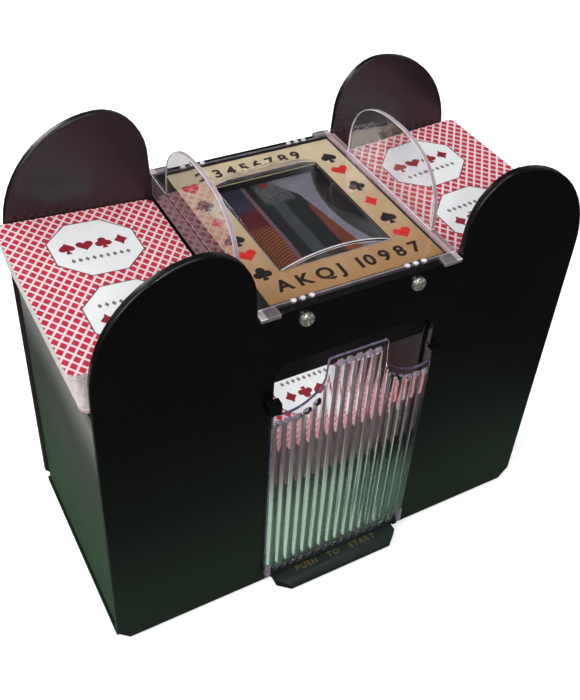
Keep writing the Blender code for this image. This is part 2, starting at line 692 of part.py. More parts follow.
def idler_gear(side, label):
    """Large and small wheel on one spindle, each with a tooth facing its neighbour."""
    centre = (side * IDLER_X, IDLER_Z)
    to_motor = from_idler(side, MOTOR_X, MOTOR_Z)
    to_shaft = from_idler(side, SHAFT_X, SHAFT_Z)
    piece(
        "idler_gear_" + label,
        gear(centre, T_IDLER, to_motor, *GEAR_Y_OUT),
        NYLON,
        add=[
            gear(centre, T_IDLER_SMALL, to_shaft, GEAR_Y_IN[0], GEAR_Y_OUT[0] + 0.4),
            rod("y", centre, SPINDLE_R, HANGER_Y[0] - 0.8, GEAR_Y_OUT[1] + 0.5, 24),
        ],
        origin=at("y", centre, GEAR_Y_OUT[0]),
    )


def motor_pinion(side, label):
    centre = (side * MOTOR_X, MOTOR_Z)
    phase = gap_phase(from_idler(side, MOTOR_X, MOTOR_Z), T_PINION)
    piece(
        "motor_pinion_" + label,
        gear(centre, T_PINION, phase, *GEAR_Y_OUT),
        BRASS,
        add=[rod("y", centre, MOTOR_SHAFT_R, HANGER_Y[0] - 5.0, GEAR_Y_OUT[1] - 0.4, 20)],
        origin=at("y", centre, GEAR_Y_OUT[0]),
    )


def motor(side, label):
    """Can with a boss at each end and a flat above and below."""
    x = side * MOTOR_X
    profile = [
        (MOTOR_BACK_Y - 2.0, 4.0), (MOTOR_BACK_Y, 4.0),
        (MOTOR_BACK_Y, MOTOR_R - MOTOR_CHAMFER), (MOTOR_BACK_Y + MOTOR_CHAMFER, MOTOR_R),
        (MOTOR_FACE_Y - MOTOR_CHAMFER, MOTOR_R), (MOTOR_FACE_Y, MOTOR_R - MOTOR_CHAMFER),
        (MOTOR_FACE_Y, 2.9), (MOTOR_FACE_Y + 1.9, 2.9),
    ]
    flats = [box(x - 14, x + 14, MOTOR_BACK_Y - 4, MOTOR_FACE_Y + 4, MOTOR_Z + low, MOTOR_Z + high)
             for low, high in ((10.2, 14.0), (-14.0, -10.2))]
    piece(
        "motor_" + label,
        turned("y", (x, MOTOR_Z), profile, 28),
        MOTOR,
        cut=[
            rod("y", (x, MOTOR_Z), MOTOR_SHAFT_R + RUN, HANGER_Y[0] - 5.6, HANGER_Y[1], 20),
            join(flats),
        ],
    )


for side, label in SIDES:
    hopper_floor(side, label)
    roller_shaft(side, label)
    for facing, face in FACES:
        roller(side, label, facing, face)
    shaft_gear(side, label)
    idler_gear(side, label)
    motor_pinion(side, label)
    motor(side, label)

# ------------------------------------------------------------------ centre well
WALL_X, WALL_T, WALL_Z0, WALL_Z1 = 33.3, 2.0, 54.2, 122.4
TRAY_T = 2.4
TRAY_X, TRAY_TOP = WALL_X - FIT, WELL_STACK_Z0 - FIT

for side, label in SIDES:
    piece("well_wall_" + label,
          box(*span(side, WALL_X, WALL_X + WALL_T), -PACK_Y, PACK_Y, WALL_Z0, WALL_Z1),
          INSIDE, bevel=0.4)
# The round cutter leaves a hollow in the tray's front edge.
piece(
    "tray_floor",
    box(-TRAY_X, TRAY_X, -PACK_Y, PACK_Y, TRAY_TOP - TRAY_T, TRAY_TOP),
    INSIDE,
    cut=[rod("z", (0.0, -PACK_Y - 1.0), 12.0, 50, 60, 32)],
)

# ------------------------------------------------------------------ cards
STACK_LEAN = 4.2           # hopper decks lean outward by this much from bottom to top
STACK_Y = 1.2              # and lie a little to the rear


def stack(thickness):
    """Upright deck with rounded corners, standing on z = 0."""
    points = []
    for side, facing, start in ((1, -1, -90), (1, 1, 0), (-1, 1, 90), (-1, -1, 180)):
        points += arc(side * (CARD_W / 2 - CARD_R), facing * (CARD_L / 2 - CARD_R),
                      CARD_R, CARD_R, start, 90, 5)
    return prism(points, "z", 0.0, thickness)


def hopper_stack(side, label):
    solid = stack(STACK_T)
    for vert in solid.verts:
        vert.co.x -= side * STACK_LEAN * (1.0 - vert.co.z / STACK_T)
    turn = Matrix.Rotation(-side * TILT, 4, "Y")
    top_inner = Vector((side * STACK_X, STACK_Y, STACK_TOP_Z))
    offset = turn @ Vector((-side * CARD_W / 2, 0.0, STACK_T))
    place = Matrix.Translation(top_inner - offset) @ turn
    bmesh.ops.transform(solid, matrix=place, verts=solid.verts)
    piece("card_stack_" + label, solid, CARDS)


def well_stack():
    solid = stack(WELL_STACK_Z1 - WELL_STACK_Z0)
    bmesh.ops.translate(solid, vec=(0, 0, WELL_STACK_Z0), verts=solid.verts)
    piece("card_stack_centre", solid, CARDS)


for side, label in SIDES:
    hopper_stack(side, label)
well_stack()

# ------------------------------------------------------------------ clear door
DOOR_X, DOOR_TOP = 35.0, 127.0   # half width, top of the middle tongue
DOOR_BACK, DOOR_SHEET, DOOR_FRONT = -49.8, -51.0, -52.6   # Y of back, sheet face, rib crests
DOOR_RIBS = 17
RIB_GAP = 0.12             # left on each side of a rib
EAR_X = (32.6, 35.1)       # hinge ears
EAR_R, EAR_DROP, EAR_TOP = (EAR_X[1] - EAR_X[0]) / 2, 1.6, 14.0
# Curved shoulder of the top edge, from the tongue outward: X, Z.
SCOOP = [
    (13.0, 122.0), (13.6, 116.2), (15.6, 112.6), (19.0, 109.4),
    (23.0, 107.1), (27.6, 105.9), (31.4, 106.2), (35.0, 107.2),
]


def door_outline():
    right = [(30.6, 5.9), (30.6, 9.4), (EAR_X[0], 9.4)]
    right += arc((EAR_X[0] + EAR_X[1]) / 2, DOOR_AXIS[1], EAR_R, 1.5, 180, 180, 8)
    right += [(EAR_X[1], 22.0), (DOOR_X, 23.0)]
    right += reversed(SCOOP)
    right += [(SCOOP[0][0], DOOR_TOP - 1.0), (12.2, DOOR_TOP)]
    return with_mirror(right)


def edge_top(x):
    """Height of the door's top edge at distance x from its middle."""
    if abs(x) <= SCOOP[0][0]:
        return DOOR_TOP
    return float(np.interp(abs(x), *zip(*SCOOP)))


def rib(index):
    """Half-round upright rib on the face of the door, stopping short of the top edge."""
    pitch = 2 * DOOR_X / DOOR_RIBS
    x = -DOOR_X + pitch * (index + 0.5)
    half = pitch / 2 - RIB_GAP
    low = 8.0 if abs(x) < 29.5 else 11.0
    high = min(edge_top(x - 1.6), edge_top(x + 1.6)) - 2.6
    root = DOOR_SHEET + 0.3
    points = [(x + half, root)]
    points += arc(x, DOOR_SHEET, half, DOOR_FRONT - DOOR_SHEET, 0, 180, 6)
    points.append((x - half, root))
    return prism(points, "z", low, high)


def ear(side):
    y, z = DOOR_AXIS
    points = arc(y, z, EAR_R, EAR_DROP, 180, 180, 16)
    points += [(y + EAR_R, EAR_TOP), (y - EAR_R, EAR_TOP)]
    return prism(points, "x", *span(side, *EAR_X))


def door_catch(side, label):
    """Block on the face of the front plate with a stem through it."""
    piece(
        "door_catch_" + label,
        box(*span(side, 32.8, 37.8), -53.2, -HALF_DEPTH - FIT, 109.3, 114.8),
        BLACK,
        add=[box(*span(side, *CATCH_X), -HALF_DEPTH - 0.6, -INNER_Y - 0.2, *CATCH_Z)],
        bevel=0.5,
    )


piece(
    "tray_door",
    prism(door_outline(), "y", DOOR_SHEET, DOOR_BACK),
    CLEAR,
    add=[join(rib(i) for i in range(DOOR_RIBS)), join(ear(side) for side in BOTH)],
    cut=[join(rod("x", DOOR_AXIS, PIN_R + RUN, *span(side, EAR_X[0] - OVER, EAR_X[1] + OVER), 24)
              for side in (1, -1))],
    origin=(0.0, *DOOR_AXIS),
)
for side, label in SIDES:
    piece("door_pin_" + label,
          rod("x", DOOR_AXIS, PIN_R, *span(side, LUG_X[0] + 0.05, EAR_X[1]), 20), SHAFT)
    door_catch(side, label)

# ------------------------------------------------------------------ press bar
BAR_X, BAR_Y0, BAR_Y1, BAR_Z0, BAR_Z1 = 30.6, -59.2, -49.6, 0.6, 4.5
BAR_CORNER_X, BAR_CORNER_Y = 5.2, 4.6
HUB_R, HUB_X = 3.1, 12.6
ARM_X = 10.0
BAR_POINTS = [             # X, Y
    (-BAR_X, BAR_Y1), (-BAR_X, BAR_Y0 + BAR_CORNER_Y), (-BAR_X + BAR_CORNER_X, BAR_Y0),
    (BAR_X - BAR_CORNER_X, BAR_Y0), (BAR_X, BAR_Y0 + BAR_CORNER_Y), (BAR_X, BAR_Y1),
]
ARM_POINTS = [             # Y, Z: lower edge to the rear, then back along the top
    (BAR_Y1 - 1.0, BAR_Z0 + 0.4), (PIVOT_Y - 3.0, 3.2), (PIVOT_Y + 2.0, 3.6), (-12.6, 3.6),
    (-12.6, 6.5), (-20.4, 6.5), (PIVOT_Y + 2.6, 8.2), (PIVOT_Y - 2.4, 7.6),
    (-44.0, 5.0), (BAR_Y1 - 1.0, BAR_Z1 - 0.2),
]
BAR_BEVEL_POINTS = [       # Y, Z: slope taken off the upper front edge
    (BAR_Y0 - 1, BAR_Z1 - 2.2), (BAR_Y0 + 3.2, BAR_Z1 + 0.001),
    (BAR_Y0 + 3.2, BAR_Z1 + 2), (BAR_Y0 - 1, BAR_Z1 + 2),
]

piece(
    "press_bar",
    prism(BAR_POINTS, "z", BAR_Z0, BAR_Z1),
    BLACK,
    add=[
        prism(ARM_POINTS, "x", -ARM_X, ARM_X),
        rod("x", (PIVOT_Y, PIVOT_Z), HUB_R, -HUB_X, HUB_X, 28),
    ],
    cut=[
        rod("x", (PIVOT_Y, PIVOT_Z), PIVOT_R + RUN, -15, 15, 24),
        prism(BAR_BEVEL_POINTS, "x", -BAR_X - 2, BAR_X + 2),
    ],
    origin=(0.0, PIVOT_Y, PIVOT_Z),
)
piece("press_pivot_pin", rod("x", (PIVOT_Y, PIVOT_Z), PIVOT_R, -16.9, 16.9, 24), SHAFT)

# ------------------------------------------------------------------ press spring
SPRING_X, SPRING_Y, SPRING_R, WIRE_R = -6.6, -15.8, 2.1, 0.25
SPRING_Z0, SPRING_Z1, SPRING_TURNS = 6.8, 13.6, 5.5


def press_spring():
    """Coil as a curve with round thickness."""
    curve = bpy.data.curves.new("press_spring", "CURVE")
    curve.dimensions = "3D"
    curve.bevel_depth = WIRE_R * MM
    curve.bevel_resolution = 2
    curve.use_fill_caps = True
    steps = int(SPRING_TURNS * 10)
    rise = SPRING_Z1 - SPRING_Z0 - 2 * WIRE_R
    line = curve.splines.new("POLY")
    line.points.add(steps)
    for i in range(steps + 1):
        angle = 2 * math.pi * SPRING_TURNS * i / steps
        line.points[i].co = (SPRING_R * math.cos(angle) * MM, SPRING_R * math.sin(angle) * MM,
                             (WIRE_R + rise * i / steps) * MM, 1.0)
    curve.materials.append(SHAFT)
    spring = bpy.data.objects.new("press_spring", curve)
    spring.location = (Vector((SPRING_X, SPRING_Y, SPRING_Z0)) + FRAME_SHIFT) * MM
    body.objects.link(spring)


press_spring()

# ------------------------------------------------------------------ switch
BUTTON_AT, BUTTON_R = (4.5, -16.0), 1.3
SWITCH_Z0, SWITCH_Z1 = 9.6, 16.4

piece(
    "switch_body",
    box(-1.5, 10.5, -19.6, BOX_Y0 - FIT, SWITCH_Z0, SWITCH_Z1),
    SWITCH,
    cut=[rod("z", BUTTON_AT, BUTTON_R + RUN, 9.0, 12.4, 20)],
    bevel=0.3,
    segments=1,
)
piece(
    "switch_button",
    turned("z", BUTTON_AT, [(6.85, 0.8), (7.25, BUTTON_R), (11.4, BUTTON_R)], 20),
    NYLON,
    origin=(*BUTTON_AT, SWITCH_Z0),
)

# ------------------------------------------------------------------ battery bay
BOX_X, BOX_Y1, BOX_Z0, BOX_Z1, BOX_T = 53.8, 45.4, 2.8, 31.8, 1.8
CELL_R, CELL_LEN, CELL_X, CELL_Z = 13.1, 50.0, 25.4, 16.5
CELL_ROWS = (3.3, 30.3)    # Y of the front and rear row
# Cell: distance from its flat end, radius.
CELL_PROFILE = ((0.0, 12.4), (0.6, CELL_R), (47.9, CELL_R), (48.5, 12.4), (48.5, 3.2),
                (CELL_LEN, 3.2))
CONTACT_X, CONTACT_Y, CONTACT_Z = (50.75, 51.25), 9, (7.0, 26.0)

piece(
    "battery_tray",
    box(-BOX_X, BOX_X, BOX_Y0, BOX_Y1, BOX_Z0, BOX_Z1),
    INSIDE,
    # shelf over the press spring
    add=[box(SPRING_X - 4.0, SPRING_X + 4.0, -20.0, BOX_Y0 + 0.5, SPRING_Z1 + FIT, 16.2)],
    cut=[box(-BOX_X + BOX_T, BOX_X - BOX_T, BOX_Y0 + BOX_T, BOX_Y1 - BOX_T,
             BOX_Z0 - OVER, BOX_Z1 - BOX_T)],
)


def battery_cell(number, side, y, pointing):
    """Cell along X with its nub toward +X or -X."""
    flat_end = side * CELL_X - pointing * CELL_LEN / 2
    profile = [(flat_end + pointing * along, radius) for along, radius in CELL_PROFILE]
    piece("battery_cell_%d" % number, turned("x", (y, CELL_Z), profile, 24), CELL)


def contact(name, side, first_row, last_row):
    """Upright strip across the ends of the cells."""
    piece("contact_" + name,
          box(*span(side, *CONTACT_X), first_row - CONTACT_Y, last_row + CONTACT_Y, *CONTACT_Z),
          CONTACT)


front_row, rear_row = CELL_ROWS
for first_number, y, pointing in ((1, front_row, 1), (3, rear_row, -1)):
    for i, side in enumerate(BOTH):
        battery_cell(first_number + i, side, y, pointing)
contact("bridge", 1, front_row, rear_row)
contact("front", -1, front_row, front_row)
contact("rear", -1, rear_row, rear_row)

piece(
    "battery_door",
    box(-BATTERY_OPEN_X + FIT, BATTERY_OPEN_X - FIT,
        BATTERY_AXIS[0] - 1.0, BATTERY_OPEN_Y[1] - FIT, 0.25, BASE_T - 0.05),
    BLACK,
    add=[rod("x", BATTERY_AXIS, BATTERY_PIN_R, -54.4, 54.4, 16)],
    # shallow notch in the underside at the rear edge
    cut=[box(-9, 9, 41.4, 44, -1, 1.4)],
    origin=(0.0, *BATTERY_AXIS),
)
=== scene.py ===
"""Card shuffler with a clear ribbed door, a clear cover and three decks of cards.

Shared frame: metres, z up, x across, the door and press bar facing -y.
Meshes are drawn in part coordinates, in millimetres, and moved into the shared frame by make().
"""
import json
import math
import random

import bpy
import bmesh
from mathutils import Matrix, Vector

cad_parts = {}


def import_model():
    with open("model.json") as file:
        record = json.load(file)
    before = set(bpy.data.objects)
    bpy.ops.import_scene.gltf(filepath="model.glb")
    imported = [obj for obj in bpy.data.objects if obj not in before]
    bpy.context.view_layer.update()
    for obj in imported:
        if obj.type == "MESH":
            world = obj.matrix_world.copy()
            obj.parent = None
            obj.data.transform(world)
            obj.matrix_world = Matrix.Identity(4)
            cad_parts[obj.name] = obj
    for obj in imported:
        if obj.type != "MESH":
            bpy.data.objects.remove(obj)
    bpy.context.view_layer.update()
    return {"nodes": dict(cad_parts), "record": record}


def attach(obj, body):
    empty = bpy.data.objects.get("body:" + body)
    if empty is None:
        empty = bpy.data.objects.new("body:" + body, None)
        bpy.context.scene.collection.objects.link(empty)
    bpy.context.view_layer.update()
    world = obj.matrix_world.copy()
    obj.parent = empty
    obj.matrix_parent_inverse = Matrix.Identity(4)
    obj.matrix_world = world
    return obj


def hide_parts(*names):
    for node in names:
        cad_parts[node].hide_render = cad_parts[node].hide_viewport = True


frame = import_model()
NODES = frame["nodes"]
SLOT_OF = {part["node"]: part["material_slot"] for part in frame["record"]["subparts"]}
SCENE = bpy.context.scene
MM = 0.001
PART_ORIGIN = Vector((0.0, 4.0, 1.0))     # millimetres, in the shared frame
MATERIALS = {}                            # finished materials by name


# ================================================================== colours and shader nodes
def rgb(red, green, blue):
    """Linear colour from display values 0-255."""
    linear = []
    for value in (red, green, blue):
        value /= 255.0
        linear.append(value / 12.92 if value <= 0.04045 else ((value + 0.055) / 1.055) ** 2.4)
    return (*linear, 1.0)


def scaled(colour, factor):
    return (colour[0] * factor, colour[1] * factor, colour[2] * factor, 1.0)


class Value:
    """One output of a shader node; arithmetic on it adds the matching Math node."""

    def __init__(self, net, socket):
        self.net = net
        self.socket = socket

    def output(self, key):
        """Another output of the same node."""
        return Value(self.net, self.socket.node.outputs[key])

    def __add__(self, other):
        return self.net.math("ADD", self, other)

    def __radd__(self, other):
        return self.net.math("ADD", other, self)

    def __sub__(self, other):
        return self.net.math("SUBTRACT", self, other)

    def __rsub__(self, other):
        return self.net.math("SUBTRACT", other, self)

    def __mul__(self, other):
        return self.net.math("MULTIPLY", self, other)

    def __truediv__(self, other):
        return self.net.math("DIVIDE", self, other)

    def __gt__(self, other):
        return self.net.math("GREATER_THAN", self, other)

    def __lt__(self, other):
        return self.net.math("LESS_THAN", self, other)

    def __abs__(self):
        return self.net.math("ABSOLUTE", self)

    def at_least(self, other):
        return self.net.math("MAXIMUM", self, other)

    def ramp(self, start=0.3, end=0.7, low=0.0, high=1.0, smooth=False):
        """Maps start..end to low..high; the defaults spread out a noise."""
        kind = "SMOOTHSTEP" if smooth else "LINEAR"
        inputs = {0: self, 1: start, 2: end, 3: low, 4: high}
        return self.net.add("MapRange", inputs, interpolation_type=kind)

    def mix(self, first, second):
        """First colour where this value is 0, second where it is 1."""
        return self.net.mix(self, first, second)

    def shades(self, base, first, second, start=0.3, end=0.7):
        """Ramp between two strengths of one colour."""
        return self.ramp(start, end).mix(scaled(base, first), scaled(base, second))


class Net:
    """Builds the shader nodes of one tree."""
    PRINCIPLED = {
        "color": "Base Color", "rough": "Roughness", "metal": "Metallic", "ior": "IOR",
        "normal": "Normal", "trans": "Transmission Weight", "coat": "Coat Weight",
        "coat_rough": "Coat Roughness", "spec": "Specular IOR Level",
        "glow_color": "Emission Color", "glow": "Emission Strength",
    }

    def __init__(self, tree):
        self.tree = tree
        self.object_position = None
        tree.nodes.clear()

    def add(self, kind, inputs=None, output=0, **properties):
        """Adds a node, sets or links its inputs and returns one of its outputs."""
        node = self.tree.nodes.new("ShaderNode" + kind)
        for name, setting in properties.items():
            setattr(node, name, setting)
        for key, value in (inputs or {}).items():
            if isinstance(value, Value):
                self.tree.links.new(value.socket, node.inputs[key])
            else:
                node.inputs[key].default_value = value
        return Value(self, node.outputs[output])

    def send(self, shader, kind):
        """Links the shader to a new output node."""
        output = self.tree.nodes.new("ShaderNode" + kind)
        self.tree.links.new(shader.socket, output.inputs[0])

    def position(self):
        """Object coordinates, from one node shared by the whole tree."""
        if self.object_position is None:
            self.object_position = self.add("TexCoord", output="Object")
        return self.object_position

    def noise(self, scale, detail=3.0, rough=0.6, stretch=None, turn=(0, 0, 0)):
        vector = self.position()
        if stretch:
            vector = self.add("Mapping", {"Vector": vector, "Scale": stretch, "Rotation": turn})
        inputs = {"Vector": vector, "Scale": scale, "Detail": detail, "Roughness": rough,
                  "Distortion": 0.0}
        return self.add("TexNoise", inputs, output="Fac")

    def voronoi(self, scale):
        inputs = {"Vector": self.position(), "Scale": scale}
        return self.add("TexVoronoi", inputs, output="Distance")

    def math(self, operation, first, second=0.0, clamp=False):
        inputs = {0: first, 1: second, 2: 0.0}
        return self.add("Math", inputs, operation=operation, use_clamp=clamp)

    def mix(self, factor, first, second, blend="MIX"):
        inputs = {0: factor, 6: first, 7: second}
        return self.add("Mix", inputs, output=2, data_type="RGBA", blend_type=blend)

    def mix_shader(self, factor, first, second):
        return self.add("MixShader", {0: factor, 1: first, 2: second})

    def split(self, vector):
        first = self.add("SeparateXYZ", {0: vector})
        return [first.output(axis) for axis in range(3)]

    def normal(self):
        return self.add("NewGeometry", output="Normal")

    def rounded_normal(self, radius):
        return self.add("Bevel", {"Radius": radius}, samples=4)

    def bump(self, height, strength, distance, normal=None):
        inputs = {"Height": height, "Strength": strength, "Distance": distance}
        if normal is not None:
            inputs["Normal"] = normal
        return self.add("Bump", inputs)

    def edge(self):
        """0 on flats, 1 on edges, from how far a rounded normal turns off the real one."""
        inputs = {0: self.normal(), 1: self.rounded_normal(radius=0.0005)}
        turned = self.add("VectorMath", inputs, output="Value", operation="DOT_PRODUCT")
        return turned.ramp(0.995, 0.90, smooth=True)

    def principled(self, **settings):
        inputs = {self.PRINCIPLED[name]: value for name, value in settings.items()}
        return self.add("BsdfPrincipled", inputs)


class Finish(Net):
    """The node tree of one new material."""

    def __init__(self, name):
        material = bpy.data.materials.new(name)
        material.use_nodes = True
        MATERIALS[name] = material
        super().__init__(material.node_tree)

    def finish(self, shader=None, **settings):
        """Closes the tree with the shader given, or with a principled one."""
        self.send(shader or self.principled(**settings), "OutputMaterial")


# ================================================================== kinds of material
DUST = (0.32, 0.31, 0.29, 1.0)


def moulded(name, base, rough, spread=0.10, peel=0.05, grain=0.0, wear_and_sheen=0.35, spec=0.5, dust=0.0,
            low=None, painted_reflection_top=0.115, high=None, inner=None, painted_light_axis=(1, -0.3, -0.8)):
    """Moulded plastic with mottling, orange peel, hairline rubbing, edges lightened partly as wear
    and partly as a painted highlight, and dust.

    low: painted floor reflection, a colour towards the floor, fading out at height
    painted_reflection_top; high: painted highlight, a colour above it.
    inner: painted light, a colour of faces whose normal, on painted_light_axis (axis, start, end),
    goes past end.
    """
    net = Finish(name)
    cloud = net.noise(38.0, detail=4.0)
    fine = net.noise(420.0)
    colour = cloud.shades(base, 0.82, 1.22)
    # painted reflection of the floor low down, painted highlight above it
    if low is not None:
        z = net.split(net.position())[2]
        colour = z.ramp(painted_reflection_top, 0.0, smooth=True).mix(colour, low)
        if high is not None:
            colour = z.ramp(painted_reflection_top - 0.05, painted_reflection_top, smooth=True).mix(colour, high)
    # painted light: faces turned one way take a lighter colour in patches
    if inner is not None:
        axis, start, end = painted_light_axis
        facing = net.split(net.normal())[axis].ramp(start, end)
        painted_patches = net.noise(16.0, detail=2.0, rough=0.5)
        colour = facing.mix(colour, painted_patches.shades(inner, 1.0, 1.75, 0.35, 0.65))
    # edges lightened in patches: partly wear, partly a painted highlight along the rounded rims
    worn = net.edge() * net.noise(260.0, detail=4.0, rough=0.7).ramp(0.35, 0.65) * wear_and_sheen
    colour = worn.mix(colour, (*(part * 3 + 0.03 for part in base[:3]), 1.0))
    if dust:
        upward = net.split(net.normal())[2].ramp(0.6, 1.0)
        speck = net.noise(900.0, detail=5.0, rough=0.75).ramp(0.56, 0.72)
        colour = (upward * speck * dust).mix(colour, DUST)
    hair = net.noise(60.0, detail=6.0, rough=0.75, stretch=(1.0, 1.0, 14.0), turn=(0.4, 0.25, 0.1))
    roughness = rough + cloud.ramp(0.25, 0.75, low=-spread * 0.5, high=spread * 0.5)
    roughness = roughness + hair.ramp(0.52, 0.75, high=spread * 0.8)
    height = net.noise(160.0, detail=2.0, rough=0.5) * peel + fine * (peel * 0.35)
    if grain:
        height = height + net.voronoi(1800.0) * grain
    soft_edge = net.rounded_normal(radius=0.00035)
    net.finish(color=colour, rough=net.math("ADD", roughness, worn * 0.25, clamp=True),
               spec=spec, coat_rough=0.12,
               normal=net.bump(height, strength=0.55, distance=0.0006, normal=soft_edge))


def metal(name, base, rough, brush=(1, 1, 1), scale=900.0, tarnish=(0.25, 0.2, 0.14),
          amount=0.25, metallic=1.0):
    """Metal brushed along the axis where brush is small, with spots of tarnish."""
    net = Finish(name)
    streak = net.noise(scale, stretch=brush)
    spots = net.noise(240.0, detail=5.0, rough=0.7)
    colour = streak.shades(base, 0.85, 1.1)
    colour = (spots.ramp(0.5, 0.75) * amount).mix(colour, (*tarnish, 1.0))
    roughness = net.math("ADD", streak.ramp(low=rough - 0.06, high=rough + 0.08),
                         spots.ramp(0.5, 0.8, high=0.2), clamp=True)
    net.finish(color=colour, rough=roughness, metal=metallic,
               normal=net.bump(streak, strength=0.12, distance=0.0002))


def rail_painted_reflection(net, smear):
    """Colour and cover of a painted reflection of the deck's tint on the strip beside the right
    guard.
    """
    amount = 0.30
    x, _, z = net.split(net.position())
    zone = abs(x).ramp(0.0378, 0.0383) * (z < 0.1578) * (z > 0.1530) * (x > 0.0)
    patchy = net.noise(80.0).ramp(low=amount * 0.7, high=amount * 1.3)
    return (0.62, 0.44, 0.47, 1.0), zone * patchy


def rib_painted_light(net, smear):
    """Colour and cover of painted light in the foot of the ribs, standing in for the light
    scattered there.
    """
    amount = 0.085
    z = net.split(net.position())[2]
    zone = z.ramp(0.066, 0.036, smooth=True) * z.ramp(0.0115, 0.0135)
    patchy = smear.ramp(0.2, 0.8, low=amount * 0.85, high=amount * 1.15)
    return (0.20, 0.36, 0.25, 1.0), zone * patchy


def clear(name, tint, painted_light_maker, rough=0.02, haze=0.25, wave=0.12):
    """Clear styrene with moulding ripples, scuffs and a zone of painted light, a diffuse colour
    that milk gives.
    """
    net = Finish(name)
    scuff = net.noise(130.0, detail=8.0, rough=0.8, stretch=(1.0, 5.0, 1.0), turn=(0.2, 0.1, 0.7))
    smear = net.noise(30.0)
    roughness = net.math("ADD", scuff.ramp(0.55, 0.8, low=rough, high=rough + haze * 0.35),
                         smear.ramp(0.4, 0.8, high=haze * 0.10), clamp=True)
    red, green, blue = tint
    colour = smear.ramp().mix((*tint, 1.0), (red * 0.985, green * 0.98, blue * 0.99, 1.0))
    ripple = net.noise(70.0, detail=2.0, rough=0.5)
    plastic = net.principled(color=colour, rough=roughness, trans=1.0, ior=1.5,
                             normal=net.bump(ripple, strength=wave, distance=0.0005))
    # painted light: a diffuse colour mixed into the clear plastic
    painted_light_colour, cover = painted_light_maker(net, smear)
    plastic_with_painted_light = net.mix_shader(cover, plastic, net.add("BsdfDiffuse", {0: painted_light_colour}))
    # shadow rays pass almost straight through
    shadow_ray = net.add("LightPath", output="Is Shadow Ray")
    see_through = net.add("BsdfTransparent", {0: (0.85, 0.8415, 0.85, 1.0)})
    net.finish(net.mix_shader(shadow_ray, plastic_with_painted_light, see_through))


def rim(name, base, rough, trans, low=None, low_trans=None):
    """Edge of clear plastic, painted pale: a painted highlight for the light gathered in the
    thickness that leaves it here.

    low, low_trans: colour and transmission of the sheet's dimmer painted highlight, as the sheet
    shows less light in its edge than the guards standing clear of it.
    """
    net = Finish(name)
    streak = net.noise(240.0, detail=4.0, rough=0.7, stretch=(1.0, 1.0, 0.4))
    colour = streak.shades(base, 0.82, 1.18)
    if low is not None:
        sheet_top = 0.1568
        x, _, z = net.split(net.position())
        high = z.ramp(sheet_top - 0.0002, sheet_top + 0.0006)
        high = high.at_least((z > 0.1562) * abs(x).ramp(0.0388, 0.0392))
        colour = high.mix(streak.shades(low, 0.7, 1.3), colour)
        trans = high.ramp(0.0, 1.0, low=low_trans, high=trans)
    net.finish(color=colour, rough=streak.ramp(low=rough, high=rough + 0.12), trans=trans,
               ior=1.45, spec=0.6, normal=net.bump(streak, strength=0.15, distance=0.0002))


def rubber(name, base, ring_scale, groove):
    """Worn rubber, with rings across y where groove is above 0."""
    net = Finish(name)
    worn = net.noise(300.0, detail=5.0, rough=0.7)
    rings = net.add("TexWave", {"Vector": net.position(), "Scale": ring_scale}, output="Fac",
                    wave_type="BANDS", bands_direction="Y")
    height = rings * groove + net.noise(1500.0, rough=0.7) * 0.3
    net.finish(color=worn.shades(base, 0.8, 1.7, 0.4, 0.7), rough=worn.ramp(low=0.7, high=0.92),
               spec=0.25, normal=net.bump(height, strength=0.5, distance=0.0005))


def ink(name, colour, rough=0.4, patchy=0.25, metal_amount=0.0):
    """Screen-printed ink with slightly uneven cover."""
    net = Finish(name)
    cover = net.noise(700.0, detail=4.0, rough=0.7)
    net.finish(color=cover.shades(colour, 1.0 - patchy, 1.0 + patchy, 0.35, 0.7),
               rough=cover.ramp(low=rough - 0.08, high=rough + 0.12), metal=metal_amount,
               normal=net.bump(cover, strength=0.1, distance=0.0002))


def cell_sleeve():
    """Blue sleeve with copper past the band edge on both ends of x."""
    net = Finish("cell_sleeve")
    band = {"start": 0.0405, "end": 0.0408}
    distance = abs(net.split(net.position())[0])
    streak = net.noise(500.0, stretch=(0.1, 1, 1))
    blue = streak.ramp().mix(rgb(28, 52, 96), rgb(40, 70, 120))
    copper = streak.ramp().mix(rgb(168, 112, 66), rgb(196, 142, 92))
    net.finish(color=distance.ramp(**band).mix(blue, copper), coat=0.3,
               rough=streak.ramp(low=0.2, high=0.36),
               metal=distance.ramp(**band, low=0.15, high=0.8),
               normal=net.bump(streak, strength=0.08, distance=0.0002))


def gold_label():
    """Gold foil, paler towards the back, brushed along y, with a faint cloudy print."""
    net = Finish("gold_foil_label")
    y = net.split(net.position())[1]
    colour = y.ramp(-0.045, 0.045).mix(rgb(170, 122, 64), rgb(238, 224, 186))
    brushed = net.noise(500.0, detail=4.0, rough=0.65, stretch=(1.0, 0.06, 1.0))
    cloud = net.noise(55.0)
    colour = brushed.ramp(high=0.16).mix(colour, rgb(232, 212, 164))
    colour = cloud.ramp(0.45, 0.75, high=0.3).mix(colour, rgb(158, 116, 68))
    net.finish(color=colour, rough=brushed.ramp(low=0.28, high=0.42), metal=0.2, spec=0.5,
               normal=net.bump(brushed, strength=0.1, distance=0.0002))


